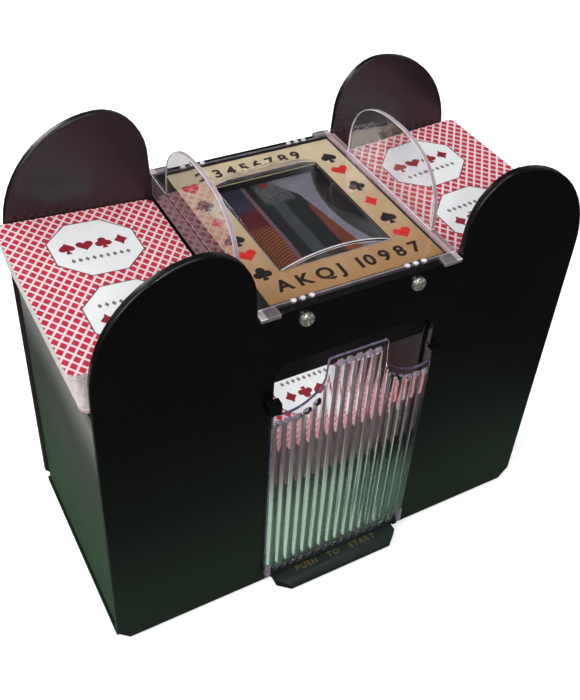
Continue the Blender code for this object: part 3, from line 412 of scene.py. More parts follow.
def insert_print():
    """Printed insert under the lens, with a painted reflection in it; every place is in part
    millimetres.
    """
    net = Finish("printed_card")
    position = net.split(net.position())
    x = position[0] * 1000.0
    y = position[1] * 1000.0 - 4.0

    def past(value, at, soft=0.25):
        return value.ramp(at - soft, at + soft)

    def before(value, at, soft=0.25):
        return 1.0 - past(value, at, soft)

    def within(value, start, end, soft=0.25):
        return past(value, start, soft) * before(value, end, soft)

    def square(value):
        return value * value

    def distance(offset_x, offset_y):
        return net.math("SQRT", square(offset_x) + square(offset_y))

    blot = net.noise(170.0)
    grain = net.noise(900.0)
    coarse = net.noise(420.0, detail=4.0, rough=0.7)
    swayed_x = x + net.noise(45.0, detail=2.0, rough=0.5).ramp(low=-0.5, high=0.5)
    wave = y * 0.62 + square(x + 8.0) * 0.021
    hatch = abs(net.math("FRACT", wave) - 0.5).ramp(0.16, 0.26, low=1.0, high=0.0)
    # left and right outlines of the pale crescent, a painted reflection
    outer = 11.7 - y * 0.165 - (y - 16.0).at_least(0.0) * 0.44
    inner = 15.6 + square(y - 3.0) * 0.0087
    arc = distance(x - 28.0, y - 5.0)
    dot = distance(x + 1.5, y - 27.0)

    colour = blot.ramp().mix(rgb(78, 16, 24), rgb(104, 26, 34))
    layers = (
        # gold hatching at the front
        (hatch * before(y, 1.0, 1.5) * 0.72, rgb(178, 122, 44)),
        # navy at the back
        (past(y + x * -0.2, 15.5, 1.0),
         blot.ramp(0.35, 0.7).mix(rgb(38, 36, 54), rgb(58, 54, 76))),
        # upright bands: a pale line, black, then grey
        (within(swayed_x, -11.0, -9.2), rgb(122, 96, 102)),
        (past(swayed_x, -9.2), rgb(20, 27, 26)),
        (within(swayed_x, -4.2, 1.0, 0.4), blot.ramp().mix(rgb(58, 68, 70), rgb(74, 84, 88))),
        # speckled grey patch at the back
        (within(x, -6.0, 6.5, 0.8) * past(y, 14.5, 1.0),
         coarse.ramp(0.35, 0.65).mix(rgb(60, 64, 66), rgb(112, 116, 114))),
        # red and brown bands on the right
        (past(x, 8.4, 0.15) * before(y, 8.0, 1.2), rgb(112, 46, 60)),
        (past(x, 9.2, 0.3) * before(y, 7.6, 1.2),
         blot.ramp().mix(rgb(116, 58, 30), rgb(140, 76, 40))),
        # pale crescent, a painted reflection, the dark field right of it and a thin arc in that
        # field
        (past(x - outer, 0.0), blot.ramp().mix(rgb(128, 130, 138), rgb(152, 154, 162))),
        (past(x - inner, 0.0), rgb(26, 24, 26)),
        (within(arc, 11.3, 12.1, 0.2) * past(x - inner, 0.3) * 0.5, rgb(96, 84, 74)),
        # red dot
        (before(dot, 1.7, 0.3), rgb(142, 40, 46)),
        # fine dark grain
        (grain.ramp(high=0.14), rgb(10, 10, 12)),
    )
    for mask, paint in layers:
        colour = mask.mix(colour, paint)
    colour = net.mix(1.0, colour, (0.72, 0.72, 0.74, 1.0), blend="MULTIPLY")
    net.finish(color=colour, rough=grain.ramp(low=0.28, high=0.4), coat=0.3,
               normal=net.bump(grain, strength=0.06, distance=0.0002))


def card_back():
    """Coated card: small red lozenges on white with a woven finish."""
    net = Finish("playing_cards")
    across, along, _ = net.split(net.add("UVMap", uv_map="card"))
    across = across / 4.03      # lattice pitches, millimetres
    along = along / 5.30

    def stripes(value):
        shift = 40.0            # keeps the value positive
        return abs(net.math("FRACT", value + shift) - 0.5).ramp(0.345, 0.385, low=1.0, high=0.0)

    red = stripes(across + along) * stripes(across - along)
    tone = net.noise(160.0)
    paper = tone.ramp().mix(rgb(240, 222, 226), rgb(244, 230, 230))
    dye = tone.ramp().mix(rgb(196, 36, 62), rgb(210, 50, 76))
    net.finish(color=red.mix(paper, dye), rough=tone.ramp(low=0.3, high=0.42), spec=0.45,
               coat=0.15, normal=net.bump(net.voronoi(2600.0), strength=0.08, distance=0.0001))


def card_edge(name, base):
    """Fibrous cut edge of the paper."""
    net = Finish(name)
    tone = net.noise(240.0, detail=4.0, rough=0.7)
    fibre = net.noise(2200.0, detail=2.0, stretch=(0.3, 0.3, 2.0))
    colour = tone.shades(base, 1.0, 0.72, 0.3, 0.75)
    colour = fibre.ramp(0.45, 0.7, high=0.4).mix(colour, scaled(base, 0.6))
    net.finish(color=colour, rough=0.72, spec=0.2,
               normal=net.bump(fibre, strength=0.3, distance=0.0002))


# ================================================================== the materials
GLOSSY = {"spread": 0.03, "peel": 0.012, "wear_and_sheen": 0.25, "dust": 0.12, "painted_reflection_top": 0.085}
# painted reflection: the black plastic goes green towards the floor
moulded("black_abs", rgb(5, 6, 5), rough=0.24, low=rgb(17, 27, 18), **GLOSSY)
# painted light: the press bar's upward faces are lighter
moulded("black_abs_bar", rgb(10, 13, 11), rough=0.3, spread=0.06, peel=0.03, wear_and_sheen=0.3, dust=0.15,
        inner=rgb(26, 35, 31), painted_light_axis=(2, 0.3, 0.9))
# painted reflection: green towards the floor, pinkish on faces looking at the decks
moulded("black_abs_rear", rgb(7, 7, 7), rough=0.26, low=rgb(13, 18, 14), inner=rgb(36, 26, 30),
        **GLOSSY)
# painted reflection: green towards the floor; painted highlight: pale towards the top
moulded("end_panel_abs", rgb(72, 72, 68), rough=0.46, spread=0.14, peel=0.03, grain=0.05,
        wear_and_sheen=0.3, spec=0.45, low=rgb(42, 70, 44), painted_reflection_top=0.14, high=rgb(158, 158, 155))
moulded("inner_black_abs", rgb(17, 15, 16), rough=0.42, spread=0.12, grain=0.03, wear_and_sheen=0.2,
        spec=0.4, dust=0.15)
clear("clear_styrene", tint=(0.965, 0.95, 0.975), painted_light_maker=rail_painted_reflection)
clear("clear_styrene_ribbed", tint=(0.95, 0.95, 0.965), painted_light_maker=rib_painted_light, rough=0.03, haze=0.12,
      wave=0.0)
# painted highlights: pale materials for the edges of the clear plastic
rim("clear_rim_light", rgb(204, 188, 194), rough=0.16, trans=0.3, low=rgb(130, 122, 127),
    low_trans=0.42)
rim("clear_rim_line", rgb(236, 230, 234), rough=0.12, trans=0.12, low=rgb(164, 158, 162),
    low_trans=0.4)
rim("clear_rim_rail", rgb(176, 158, 164), rough=0.1, trans=0.84)
rim("clear_rim_glint", rgb(232, 232, 234), rough=0.25, trans=0.1)
rim("clear_rim_violet", rgb(116, 106, 132), rough=0.2, trans=0.3)
rim("clear_rim_tip", rgb(138, 126, 142), rough=0.2, trans=0.12)
metal("nickel_steel", (0.86, 0.83, 0.75), rough=0.2, scale=600.0, amount=0.2, metallic=0.9)
metal("shaft_steel", (0.62, 0.62, 0.62), rough=0.25, brush=(1, 0.1, 1))
metal("brass", (0.78, 0.56, 0.24), rough=0.25, brush=(1, 0.2, 1), tarnish=(0.3, 0.18, 0.08))
metal("motor_can_steel", (0.6, 0.6, 0.62), rough=0.3, brush=(1, 0.08, 1), amount=0.15)
metal("contact_steel", (0.72, 0.71, 0.68), rough=0.22, brush=(0.2, 1, 1), amount=0.2)
moulded("white_nylon", rgb(228, 225, 212), rough=0.42, wear_and_sheen=0.05)
moulded("switch_housing", rgb(132, 38, 34), rough=0.4, wear_and_sheen=0.1)
rubber("feed_rubber", (0.03, 0.03, 0.03), ring_scale=160.0, groove=0.8)
rubber("foot_rubber", (0.02, 0.02, 0.02), ring_scale=40.0, groove=0.0)
cell_sleeve()
gold_label()
insert_print()
card_back()
card_edge("card_paper_edge", rgb(226, 222, 218))
card_edge("card_paper_edge_red", rgb(206, 96, 112))
# painted shade: darker card edges for the centre deck, in the shade of the well
card_edge("card_paper_edge_shaded", rgb(72, 66, 67))
ink("ink_red", rgb(214, 40, 34), rough=0.35)
ink("ink_black", rgb(24, 18, 16), rough=0.35)
ink("ink_brown", rgb(30, 18, 12), rough=0.35)
ink("ink_white", rgb(244, 245, 246), patchy=0.03)
ink("ink_maroon", rgb(150, 34, 52))
ink("ink_grey", rgb(128, 112, 118), rough=0.45)
ink("ink_line", rgb(112, 70, 82), rough=0.45)
ink("ink_gold", rgb(132, 118, 74), metal_amount=0.4)

# a CAD node takes the material named after its slot, except these
NODE_FINISH = {"rear_plate": "black_abs_rear", "press_bar": "black_abs_bar"}
SLOT_FINISH = {"playing_cards": "card_paper_edge"}


# ================================================================== CAD nodes
def shade_group():
    """Edges flatter than 32 degrees are shaded smooth, the rest stay crisp."""
    group = bpy.data.node_groups.new("soft_edges", "GeometryNodeTree")
    for direction in ("INPUT", "OUTPUT"):
        group.interface.new_socket("Geometry", in_out=direction,
                                   socket_type="NodeSocketGeometry")
    nodes, link = group.nodes, group.links.new
    source = nodes.new("NodeGroupInput")
    result = nodes.new("NodeGroupOutput")
    angle = nodes.new("GeometryNodeInputMeshEdgeAngle")
    flatter = nodes.new("FunctionNodeCompare")
    flatter.data_type = "FLOAT"
    flatter.operation = "LESS_THAN"
    flatter.inputs[1].default_value = math.radians(32)
    faces = nodes.new("GeometryNodeSetShadeSmooth")
    faces.domain = "FACE"
    edges = nodes.new("GeometryNodeSetShadeSmooth")
    edges.domain = "EDGE"
    link(angle.outputs["Unsigned Angle"], flatter.inputs[0])
    link(source.outputs[0], faces.inputs["Geometry"])
    link(faces.outputs[0], edges.inputs["Geometry"])
    link(flatter.outputs[0], edges.inputs["Shade Smooth"])
    link(edges.outputs[0], result.inputs[0])
    return group


def add_weld(item, name):
    weld = item.modifiers.new(name, "WELD")
    weld.merge_threshold = 2e-6


def soften(item, group):
    """Welds the mesh and evens out its shading."""
    add_weld(item, "weld")
    item.modifiers.new("soft", "NODES").node_group = group
    even = item.modifiers.new("even", "WEIGHTED_NORMAL")
    even.keep_sharp = True
    even.weight = 80


# material slots of the clear cover, after its own plastic; each is a painted highlight
LINE, LIGHT, RAIL, GLINT = 1, 2, 3, 4
COVER_RIMS = ("clear_rim_line", "clear_rim_light", "clear_rim_rail", "clear_rim_glint")


def cover_slot(centre, normal):
    """Rim slot, a painted highlight, of a cover face from its centre and normal (metres), or None.
    """
    x = abs(centre.x)
    y = abs(centre.y - PART_ORIGIN.y * MM)
    z = centre.z
    guard = z > 0.1572 and x > 0.0385
    if guard and abs(normal.x) < 0.5:                                  # ends of the guards
        return LIGHT
    if 0.0440 < y < 0.0473 and x < 0.0285 and z > 0.15705:             # front and back strips
        return GLINT
    if 0.0335 < x < 0.0415 and y > 0.0462 and z > 0.1535 and normal.z > 0.7:    # corner tops
        return LIGHT
    if x > 0.0415 and abs(normal.x) > 0.7 and z < 0.1572:              # outer sides
        return RAIL
    if z > 0.1545 and abs(normal.z) < 0.4 and (y > 0.0452 or x > 0.0412) and not guard:
        return LIGHT                                                   # edge of the sheet
    return None


def finish_cover(cover):
    """Painted highlights: the thin faces round the sheet, rails and guards take pale materials for
    the light they gather; so do their edges.
    """
    for rim_name in COVER_RIMS:
        cover.data.materials.append(MATERIALS[rim_name])
    world_matrix = cover.matrix_world
    for face in cover.data.polygons:
        normal = (world_matrix.to_3x3() @ face.normal).normalized()
        slot = cover_slot(world_matrix @ face.center, normal)
        if slot is not None:
            face.material_index = slot
    add_weld(cover, "weld_first")
    bevel = cover.modifiers.new("edges", "BEVEL")
    bevel.width = 0.00022
    bevel.segments = 2
    bevel.limit_method = "ANGLE"
    bevel.angle_limit = math.radians(34)
    bevel.use_clamp_overlap = False
    bevel.material = LINE


SOFT_EDGES = shade_group()
for node_name, node in NODES.items():
    finish_name = NODE_FINISH.get(node_name)
    if finish_name is None:
        slot_name = SLOT_OF[node_name]
        finish_name = SLOT_FINISH.get(slot_name, slot_name)
    node.data.materials.clear()
    node.data.materials.append(MATERIALS[finish_name])
    if node_name == "clear_cover":
        finish_cover(node)
    soften(node, SOFT_EDGES)


# ================================================================== mesh builders
def add_object(name, data):
    item = bpy.data.objects.new(name, data)
    SCENE.collection.objects.link(item)
    return item


def make(name, shape, materials, body, smooth=None, matrix=None):
    """Object from a bmesh in part millimetres, placed in the shared frame, riding on a body.

    smooth: angle in degrees above which edges stay sharp; flat shading if None.
    """
    if matrix is not None:
        bmesh.ops.transform(shape, matrix=matrix, verts=shape.verts)
    bmesh.ops.translate(shape, vec=PART_ORIGIN, verts=shape.verts)
    bmesh.ops.scale(shape, vec=(MM, MM, MM), verts=shape.verts)
    bmesh.ops.recalc_face_normals(shape, faces=shape.faces)
    mesh = bpy.data.meshes.new(name)
    shape.to_mesh(mesh)
    shape.free()
    for material in materials:
        mesh.materials.append(MATERIALS[material])
    item = add_object(name, mesh)
    if smooth:
        mesh.polygons.foreach_set("use_smooth", [True] * len(mesh.polygons))
        mesh.set_sharp_from_angle(angle=math.radians(smooth))
    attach(item, body)
    return item


def prism(shape, low, high, side_material=0):
    """Closes two matching rings of points with end caps and side walls."""
    low = [shape.verts.new(point) for point in low]
    high = [shape.verts.new(point) for point in high]
    shape.faces.new(high)
    shape.faces.new(list(reversed(low)))
    for i in range(len(low)):
        j = (i + 1) % len(low)
        side = shape.faces.new((low[i], low[j], high[j], high[i]))
        side.material_index = side_material


def slab(shape, outline, bottom, top, side_material=0):
    """Adds an outline standing from bottom to top."""
    prism(shape, [(x, y, bottom) for x, y in outline], [(x, y, top) for x, y in outline],
          side_material)


def band(shape, outer, inner, bottom, top):
    """Adds a band between two outlines of equal count."""
    corners = ((outer, bottom), (outer, top), (inner, top), (inner, bottom))
    rings = [[shape.verts.new((x, y, z)) for x, y in outline] for outline, z in corners]
    count = len(outer)
    for k in range(4):
        first, second = rings[k], rings[(k + 1) % 4]
        for i in range(count):
            j = (i + 1) % count
            shape.faces.new((first[i], first[j], second[j], second[i]))


def rounded(half_x, half_y, radius, steps):
    """Rectangle about the origin with rounded corners."""
    points = []
    for side_x, side_y, start in ((1, 1, 0), (-1, 1, 90), (-1, -1, 180), (1, -1, 270)):
        for i in range(steps + 1):
            angle = math.radians(start + 90.0 * i / steps)
            points.append((side_x * (half_x - radius) + radius * math.cos(angle),
                           side_y * (half_y - radius) + radius * math.sin(angle)))
    return points


def octagon(radius, middle_y):
    angles = [math.radians(22.5 + 45 * i) for i in range(8)]
    return [(radius * math.cos(angle), middle_y + radius * math.sin(angle)) for angle in angles]


def circle(middle_x, middle_y, radius, count=36):
    angles = [2 * math.pi * i / count for i in range(count)]
    return [(middle_x + radius * math.cos(angle), middle_y + radius * math.sin(angle))
            for angle in angles]


def union(outlines, count=120):
    """Outer outline of several shapes, as far as rays from the origin reach."""
    points = []
    for k in range(count):
        angle = 2 * math.pi * k / count + 0.0001    # nudged off the outlines' own corners
        ray_x, ray_y = math.cos(angle), math.sin(angle)
        reach = 0.0
        for outline in outlines:
            for i, (x1, y1) in enumerate(outline):
                x2, y2 = outline[(i + 1) % len(outline)]
                edge_x, edge_y = x2 - x1, y2 - y1
                cross = ray_x * edge_y - ray_y * edge_x
                if abs(cross) < 1e-12:
                    continue
                along_ray = (x1 * edge_y - y1 * edge_x) / cross
                along_edge = (x1 * ray_y - y1 * ray_x) / cross
                if along_ray > reach and -1e-9 <= along_edge <= 1 + 1e-9:
                    reach = along_ray
        points.append((ray_x * reach, ray_y * reach))
    return points


def heart_outline():
    points = []
    for i in range(64):
        t = 2 * math.pi * i / 64
        y = 13 * math.cos(t) - 5 * math.cos(2 * t) - 2 * math.cos(3 * t) - math.cos(4 * t)
        points.append((16 * math.sin(t) ** 3 / 33.0, y / 33.0))
    return points


# outlines about one unit high, x and y
STEM = [(-0.02, 0.05), (-0.05, -0.18), (-0.19, -0.5), (0.19, -0.5), (0.05, -0.18), (0.02, 0.05)]
DIAMOND = [(0, 0.52), (-0.13, 0.27), (-0.4, 0.0), (-0.13, -0.27),
           (0, -0.52), (0.13, -0.27), (0.4, 0.0), (0.13, 0.27)]
HEART = heart_outline()
PIP_OUTLINES = {
    "heart": [(x * 1.02, y + 0.06) for x, y in HEART],
    "diamond": DIAMOND,
    "spade": union([[(x * 0.95, -y * 0.92 + 0.1) for x, y in HEART], STEM]),
    "club": union([circle(0, 0.26, 0.235), circle(-0.245, -0.06, 0.235),
                   circle(0.245, -0.06, 0.235), circle(0, 0.02, 0.14), STEM]),
}


def pip(kind, size):
    return [(x * size, y * size) for x, y in PIP_OUTLINES[kind]]


def lettering(words, size, bold, spacing=1.0):
    """Plain sans lettering as a thin slab, centred on the origin, in millimetres."""
    curve = bpy.data.curves.new("marks", "FONT")
    curve.body = words
    curve.size = size
    curve.offset = bold
    curve.extrude = 0.03
    curve.space_character = spacing
    curve.align_x = "CENTER"
    curve.align_y = "CENTER"
    curve.resolution_u = 6
    item = add_object("marks", curve)
    bpy.context.view_layer.update()
    evaluated = item.evaluated_get(bpy.context.evaluated_depsgraph_get())
    mesh = bpy.data.meshes.new_from_object(evaluated)
    bpy.data.objects.remove(item)
    bpy.data.curves.remove(curve)
    shape = bmesh.new()
    shape.from_mesh(mesh)
    bpy.data.meshes.remove(mesh)
    bmesh.ops.remove_doubles(shape, verts=shape.verts, dist=1e-5)
    return shape


# ================================================================== cards
CARD_W, CARD_L, CARD_R = 63.5, 88.9, 3.5
CARD_GAP = 0.015                 # left free above and below each card
SIDE_TILT = math.radians(4.08)
SIDE_TOP = (42.4, 1.2, 145.0)    # middle of the inner top edge of the right deck
SIDE_THICK = 18.2
SIDE_LEAN = 4.2
MEDALLION_Y = 20.0               # each way from the middle of the card
MEDALLION_R = 17.75
SUIT_PITCH, SUIT_SIZE, SUIT_Y = 6.9, 6.6, 1.6
LOZENGE_PITCH, LOZENGE_Y = 2.6, -6.3
LOZENGE = ((-0.84, 0.0), (0.0, -1.35), (0.84, 0.0), (0.0, 1.35))    # corners, x and y


def card_sheets(thick, count, seed, lean):
    """One thin sheet per card, each a hair out of line with its neighbours."""
    draw = random.Random(seed)
    shape = bmesh.new()
    uv_layer = shape.loops.layers.uv.new("card")
    outline = rounded(CARD_W / 2 - 0.16, CARD_L / 2 - 0.2, CARD_R, steps=7)
    pitch = thick / count
    for k in range(count):
        bottom = pitch * k
        shift_x, shift_y = draw.uniform(-0.06, 0.06), draw.uniform(-0.10, 0.10)
        if k < 3 or k == count - 1:
            shift_x = shift_y = 0.0
        shift_x -= lean * (1.0 - (k + 0.5) / count)
        turn = math.radians(draw.uniform(-0.08, 0.08))
        points = [(x * math.cos(turn) - y * math.sin(turn) + shift_x,
                   x * math.sin(turn) + y * math.cos(turn) + shift_y) for x, y in outline]
        done = len(shape.faces)
        slab(shape, points, bottom + CARD_GAP, bottom + pitch - CARD_GAP,
             side_material=2 if k in (1, 2) else 1)
        shape.faces.ensure_lookup_table()
        for face in shape.faces[done:]:
            for loop in face.loops:
                loop[uv_layer].uv = (loop.vert.co.x, loop.vert.co.y)
    return shape


def medallions(name, body, place, top):
    """Two octagons with suits and lozenges, printed on the top card."""
    plate, line, suits, lozenges = (bmesh.new() for _ in range(4))
    for side in (1, -1):
        middle = MEDALLION_Y * side

        def placed(points, x, y):
            return [((px + x) * side, (py + y) * side + middle) for px, py in points]

        slab(plate, octagon(MEDALLION_R, middle), top - 0.01, top + 0.02)
        band(line, octagon(18.2, middle), octagon(17.7, middle), top - 0.01, top + 0.03)
        for i, kind in enumerate(("spade", "heart", "club", "diamond")):
            suit = placed(pip(kind, SUIT_SIZE), (i - 1.5) * SUIT_PITCH, SUIT_Y)
            slab(suits, suit, top + 0.015, top + 0.035)
        for i in range(9):
            lozenge = placed(LOZENGE, (i - 4) * LOZENGE_PITCH, LOZENGE_Y)
            slab(lozenges, lozenge, top + 0.015, top + 0.032)
    for suffix, shape, material in (
        ("_medallions", plate, "ink_white"),
        ("_medallion_lines", line, "ink_line"),
        ("_suit_marks", suits, "ink_maroon"),
        ("_small_marks", lozenges, "ink_grey"),
    ):
        make(name + suffix, shape, [material], body, matrix=place)


def deck(side_name, body, place, thick, count, seed, lean=0.0, edge="card_paper_edge"):
    """A squared-up deck; lean is how far the bottom is slid towards -x."""
    name = "deck_" + side_name
    item = make(name, card_sheets(thick, count, seed, lean),
                ["playing_cards", edge, "card_paper_edge_red"], body,
                matrix=place)
    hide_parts("card_stack_" + side_name)
    medallions(name, body, place, thick)


for side, side_name in ((-1, "left"), (1, "right")):
    top_inner = Vector((side * SIDE_TOP[0], SIDE_TOP[1], SIDE_TOP[2]))
    tilt = Matrix.Rotation(-side * SIDE_TILT, 4, "Y")
    corner = tilt @ Vector((-side * CARD_W / 2, 0.0, SIDE_THICK))
    deck(side_name, "cards_" + side_name, Matrix.Translation(top_inner - corner) @ tilt,
         thick=SIDE_THICK - 0.02, count=58, seed=11 + side, lean=side * SIDE_LEAN)
# the centre deck's edges carry painted shade
deck("centre", "shell", Matrix.Translation((0.0, 0.0, 57.3)), thick=21.68, count=70, seed=5,
     edge="card_paper_edge_shaded")


# ================================================================== ribbed clear door
DOOR_HALF = 35.0                        # half width
DOOR_BACK, DOOR_FACE = -49.8, -51.0     # y of the sheet's two faces
DOOR_ROUND = 0.18                       # how far its top and bottom rims draw in
RIB_COUNT, RIB_DEPTH = 17, 1.6
RIB_PITCH = 2 * DOOR_HALF / RIB_COUNT
RIB_HALF = RIB_PITCH / 2 - 0.10
RIB_COLUMNS = 12                        # strips across a rib
RIB_END = 1.7                           # length of its rounded end
# upper outline of the right half, x and z
SCOOP = [
    (12.2, 127.0), (12.75, 126.4), (13.0, 124.6), (13.1, 122.0), (13.25, 119.0), (13.6, 116.4),
    (14.4, 114.3), (15.6, 112.5), (17.2, 110.8), (19.0, 109.4), (21.0, 108.1), (23.0, 107.1),
    (25.4, 106.3), (27.6, 105.95), (29.6, 105.9), (31.4, 106.15), (33.2, 106.65), (35.0, 107.2),
]
# rows of points: distances below the top, shares of the height, distances above the foot
BELOW_TOP = (0.0, 0.10, 0.35, 1.2, 2.2, 2.5, 2.7, 2.95, 3.25, 3.6, 4.0, 4.5, 5.2, 6.4)
BETWEEN = (0.75, 0.5, 0.25)
ABOVE_FOOT = (3.6, 3.0, 2.55, 2.2, 1.95, 1.75, 1.55, 0.8, 0.12, 0.0)


def door_top(x):
    x = abs(x)
    if x <= SCOOP[0][0]:
        return SCOOP[0][1]
    for (x1, z1), (x2, z2) in zip(SCOOP, SCOOP[1:]):
        if x <= x2:
            return z1 + (z2 - z1) * (x - x1) / (x2 - x1)
    return SCOOP[-1][1]


def rib_middle(index):
    return -DOOR_HALF + RIB_PITCH * (index + 0.5)


def rib_height(x, z):
    """How far the ribs stand off the sheet at a point."""
    middle = rib_middle(min(RIB_COUNT - 1, max(0, int((x + DOOR_HALF) / RIB_PITCH))))
    across = (x - middle) / RIB_HALF
    if abs(across) >= 1.0:
        return 0.0
    arch = math.sqrt(1.0 - across * across)
    # each rib ends below the lower of its two top corners; the outermost ribs start higher
    top = min(door_top(middle - 1.6), door_top(middle + 1.6)) - 2.4 - (1.0 - arch) * 1.5
    foot = (7.6 if abs(middle) < 29.5 else 10.9) + (1.0 - arch) * 0.9
    inside = min(top - z, z - foot)
    if inside <= 0.0:
        return 0.0
    end = min(1.0, inside / RIB_END)
    return RIB_DEPTH * arch * math.sqrt(1.0 - (1.0 - end) ** 2)


def door_columns():
    """Every x that carries a column of points."""
    columns = {-DOOR_HALF, DOOR_HALF}
    for i in range(RIB_COUNT):
        for k in range(RIB_COLUMNS + 1):
            x = rib_middle(i) + RIB_HALF * math.cos(math.pi * k / RIB_COLUMNS)
            columns.add(round(x, 4))
    for x, _ in SCOOP:
        columns.update((x, -x))
    xs = sorted(columns)
    return [x for i, x in enumerate(xs) if i == 0 or x - xs[i - 1] > 0.02]


def ribbed_door():
    """One clear sheet with round-ended half-round ribs moulded on its face."""
    # painted highlights: the door's rims and rib ends take pale materials
    rim_slot, tip_slot = 1, 2
    shape = bmesh.new()
    front, back = [], []
    for x in door_columns():
        top = door_top(x)
        foot = 5.9 if abs(x) <= 30.6 else 9.4
        zs = [top - drop for drop in BELOW_TOP]
        zs += [foot + (top - foot) * share for share in BETWEEN]
        zs += [foot + rise for rise in ABOVE_FOOT]
        front.append([])
        back.append([])
        for j, z in enumerate(zs):
            soft = DOOR_ROUND if j in (0, len(zs) - 1) else 0.0
            y = DOOR_FACE + soft - rib_height(x, z)
            front[-1].append(shape.verts.new((x, y, z)))
            back[-1].append(shape.verts.new((x, DOOR_BACK - soft, z)))
    rows = len(front[0])
    for i in range(len(front) - 1):
        near, far = front[i], front[i + 1]
        near_back, far_back = back[i], back[i + 1]
        for j in range(rows - 1):
            face = shape.faces.new((near[j], near[j + 1], far[j + 1], far[j]))
            middle_y = sum(vert.co.y for vert in face.verts) / 4
            if j < 1 or j >= rows - 2:
                face.material_index = rim_slot
            elif middle_y < DOOR_FACE - 0.05 and (4 <= j < 9 or j >= rows - 8):
                face.material_index = tip_slot      # ends of the ribs
            shape.faces.new((near_back[j], far_back[j], far_back[j + 1], near_back[j + 1]))
        for j in (0, rows - 1):
            face = shape.faces.new((near[j], far[j], far_back[j], near_back[j]))
            face.material_index = rim_slot
    for i in (0, len(front) - 1):
        for j in range(rows - 1):
            face = shape.faces.new((front[i][j], back[i][j], back[i][j + 1], front[i][j + 1]))
            face.material_index = rim_slot
    door = make("ribbed_door", shape, ["clear_styrene_ribbed", "clear_rim_violet", "clear_rim_tip"],
                "door", smooth=44)
    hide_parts("tray_door")


def door_ear(side, side_name):
    """Lug with a round lower end, at a bottom corner of the door."""
    axis_y, axis_z, half = -51.1, 6.5, 1.25
    angles = [math.radians(180 + 180 * i / 20) for i in range(21)]
    profile = [(axis_y + half * math.cos(angle), axis_z + 1.6 * math.sin(angle))
               for angle in angles]
    profile += [(axis_y + half, 12.6), (axis_y + 1.0, 14.0),
                (axis_y - 1.0, 14.0), (axis_y - half, 12.6)]
    left, right = sorted((side * 32.7, side * DOOR_HALF))
    shape = bmesh.new()
    prism(shape, [(left, y, z) for y, z in profile], [(right, y, z) for y, z in profile])
    bmesh.ops.recalc_face_normals(shape, faces=shape.faces)
    corners = [edge for edge in shape.edges if edge.calc_face_angle(0.0) > 0.7]
    bmesh.ops.bevel(shape, geom=corners, offset=0.25, segments=2, affect="EDGES")
    # painted highlight: the whole ear takes a pale material
    ear = make("door_ear_" + side_name, shape, ["clear_rim_tip"], "door",
               smooth=40)
    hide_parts("tray_door")


ribbed_door()
door_ear(-1, "left")
door_ear(1, "right")


# ================================================================== printed marks
LABEL_Z = 154.17
PIP_SIZE = 7.4
# suit, x, y
LABEL_PIPS = [
    ("spade", 30.6, 30.2), ("heart", 30.5, 20.0), ("club", 30.4, 7.6),
    ("diamond", 30.4, -3.8), ("spade", 30.4, -16.4), ("heart", 30.4, -27.0),
    ("heart", -29.6, 31.0), ("club", -29.6, 18.8), ("diamond", -29.6, 6.8),
    ("spade", -29.6, -6.2), ("heart", -29.6, -16.0), ("club", -29.6, -27.4),
]
# name, words, x, y, letter size, boldness
LABEL_WORDS = (
    ("label_marks_front", "A K Q J  10 9 8 7", 1.6, -36.4, 8.4, 0.29),
    ("label_marks_rear", "2 3 4 5 6 7 8 9", -2.0, 37.2, 7.6, 0.26),
)


def label_pips(name, kinds, material):
    shape = bmesh.new()
    for kind, x, y in LABEL_PIPS:
        if kind in kinds:
            outline = [(px + x, py + y) for px, py in pip(kind, PIP_SIZE)]
            slab(shape, outline, LABEL_Z - 0.03, LABEL_Z + 0.03)
    make(name, shape, [material], "shell")


label_pips("label_red_pips", ("heart", "diamond"), "ink_red")
label_pips("label_black_pips", ("spade", "club"), "ink_black")
for mark_name, words, x, y, size, bold in LABEL_WORDS:
    make(mark_name, lettering(words, size, bold), ["ink_brown"], "shell",
         matrix=Matrix.Translation((x, y, LABEL_Z)))
make("press_bar_marks", lettering("PUSH   TO   START", size=3.9, bold=0.05, spacing=1.25),
     ["ink_gold"], "press_bar", matrix=Matrix.Translation((0.0, -53.2, 4.53)))


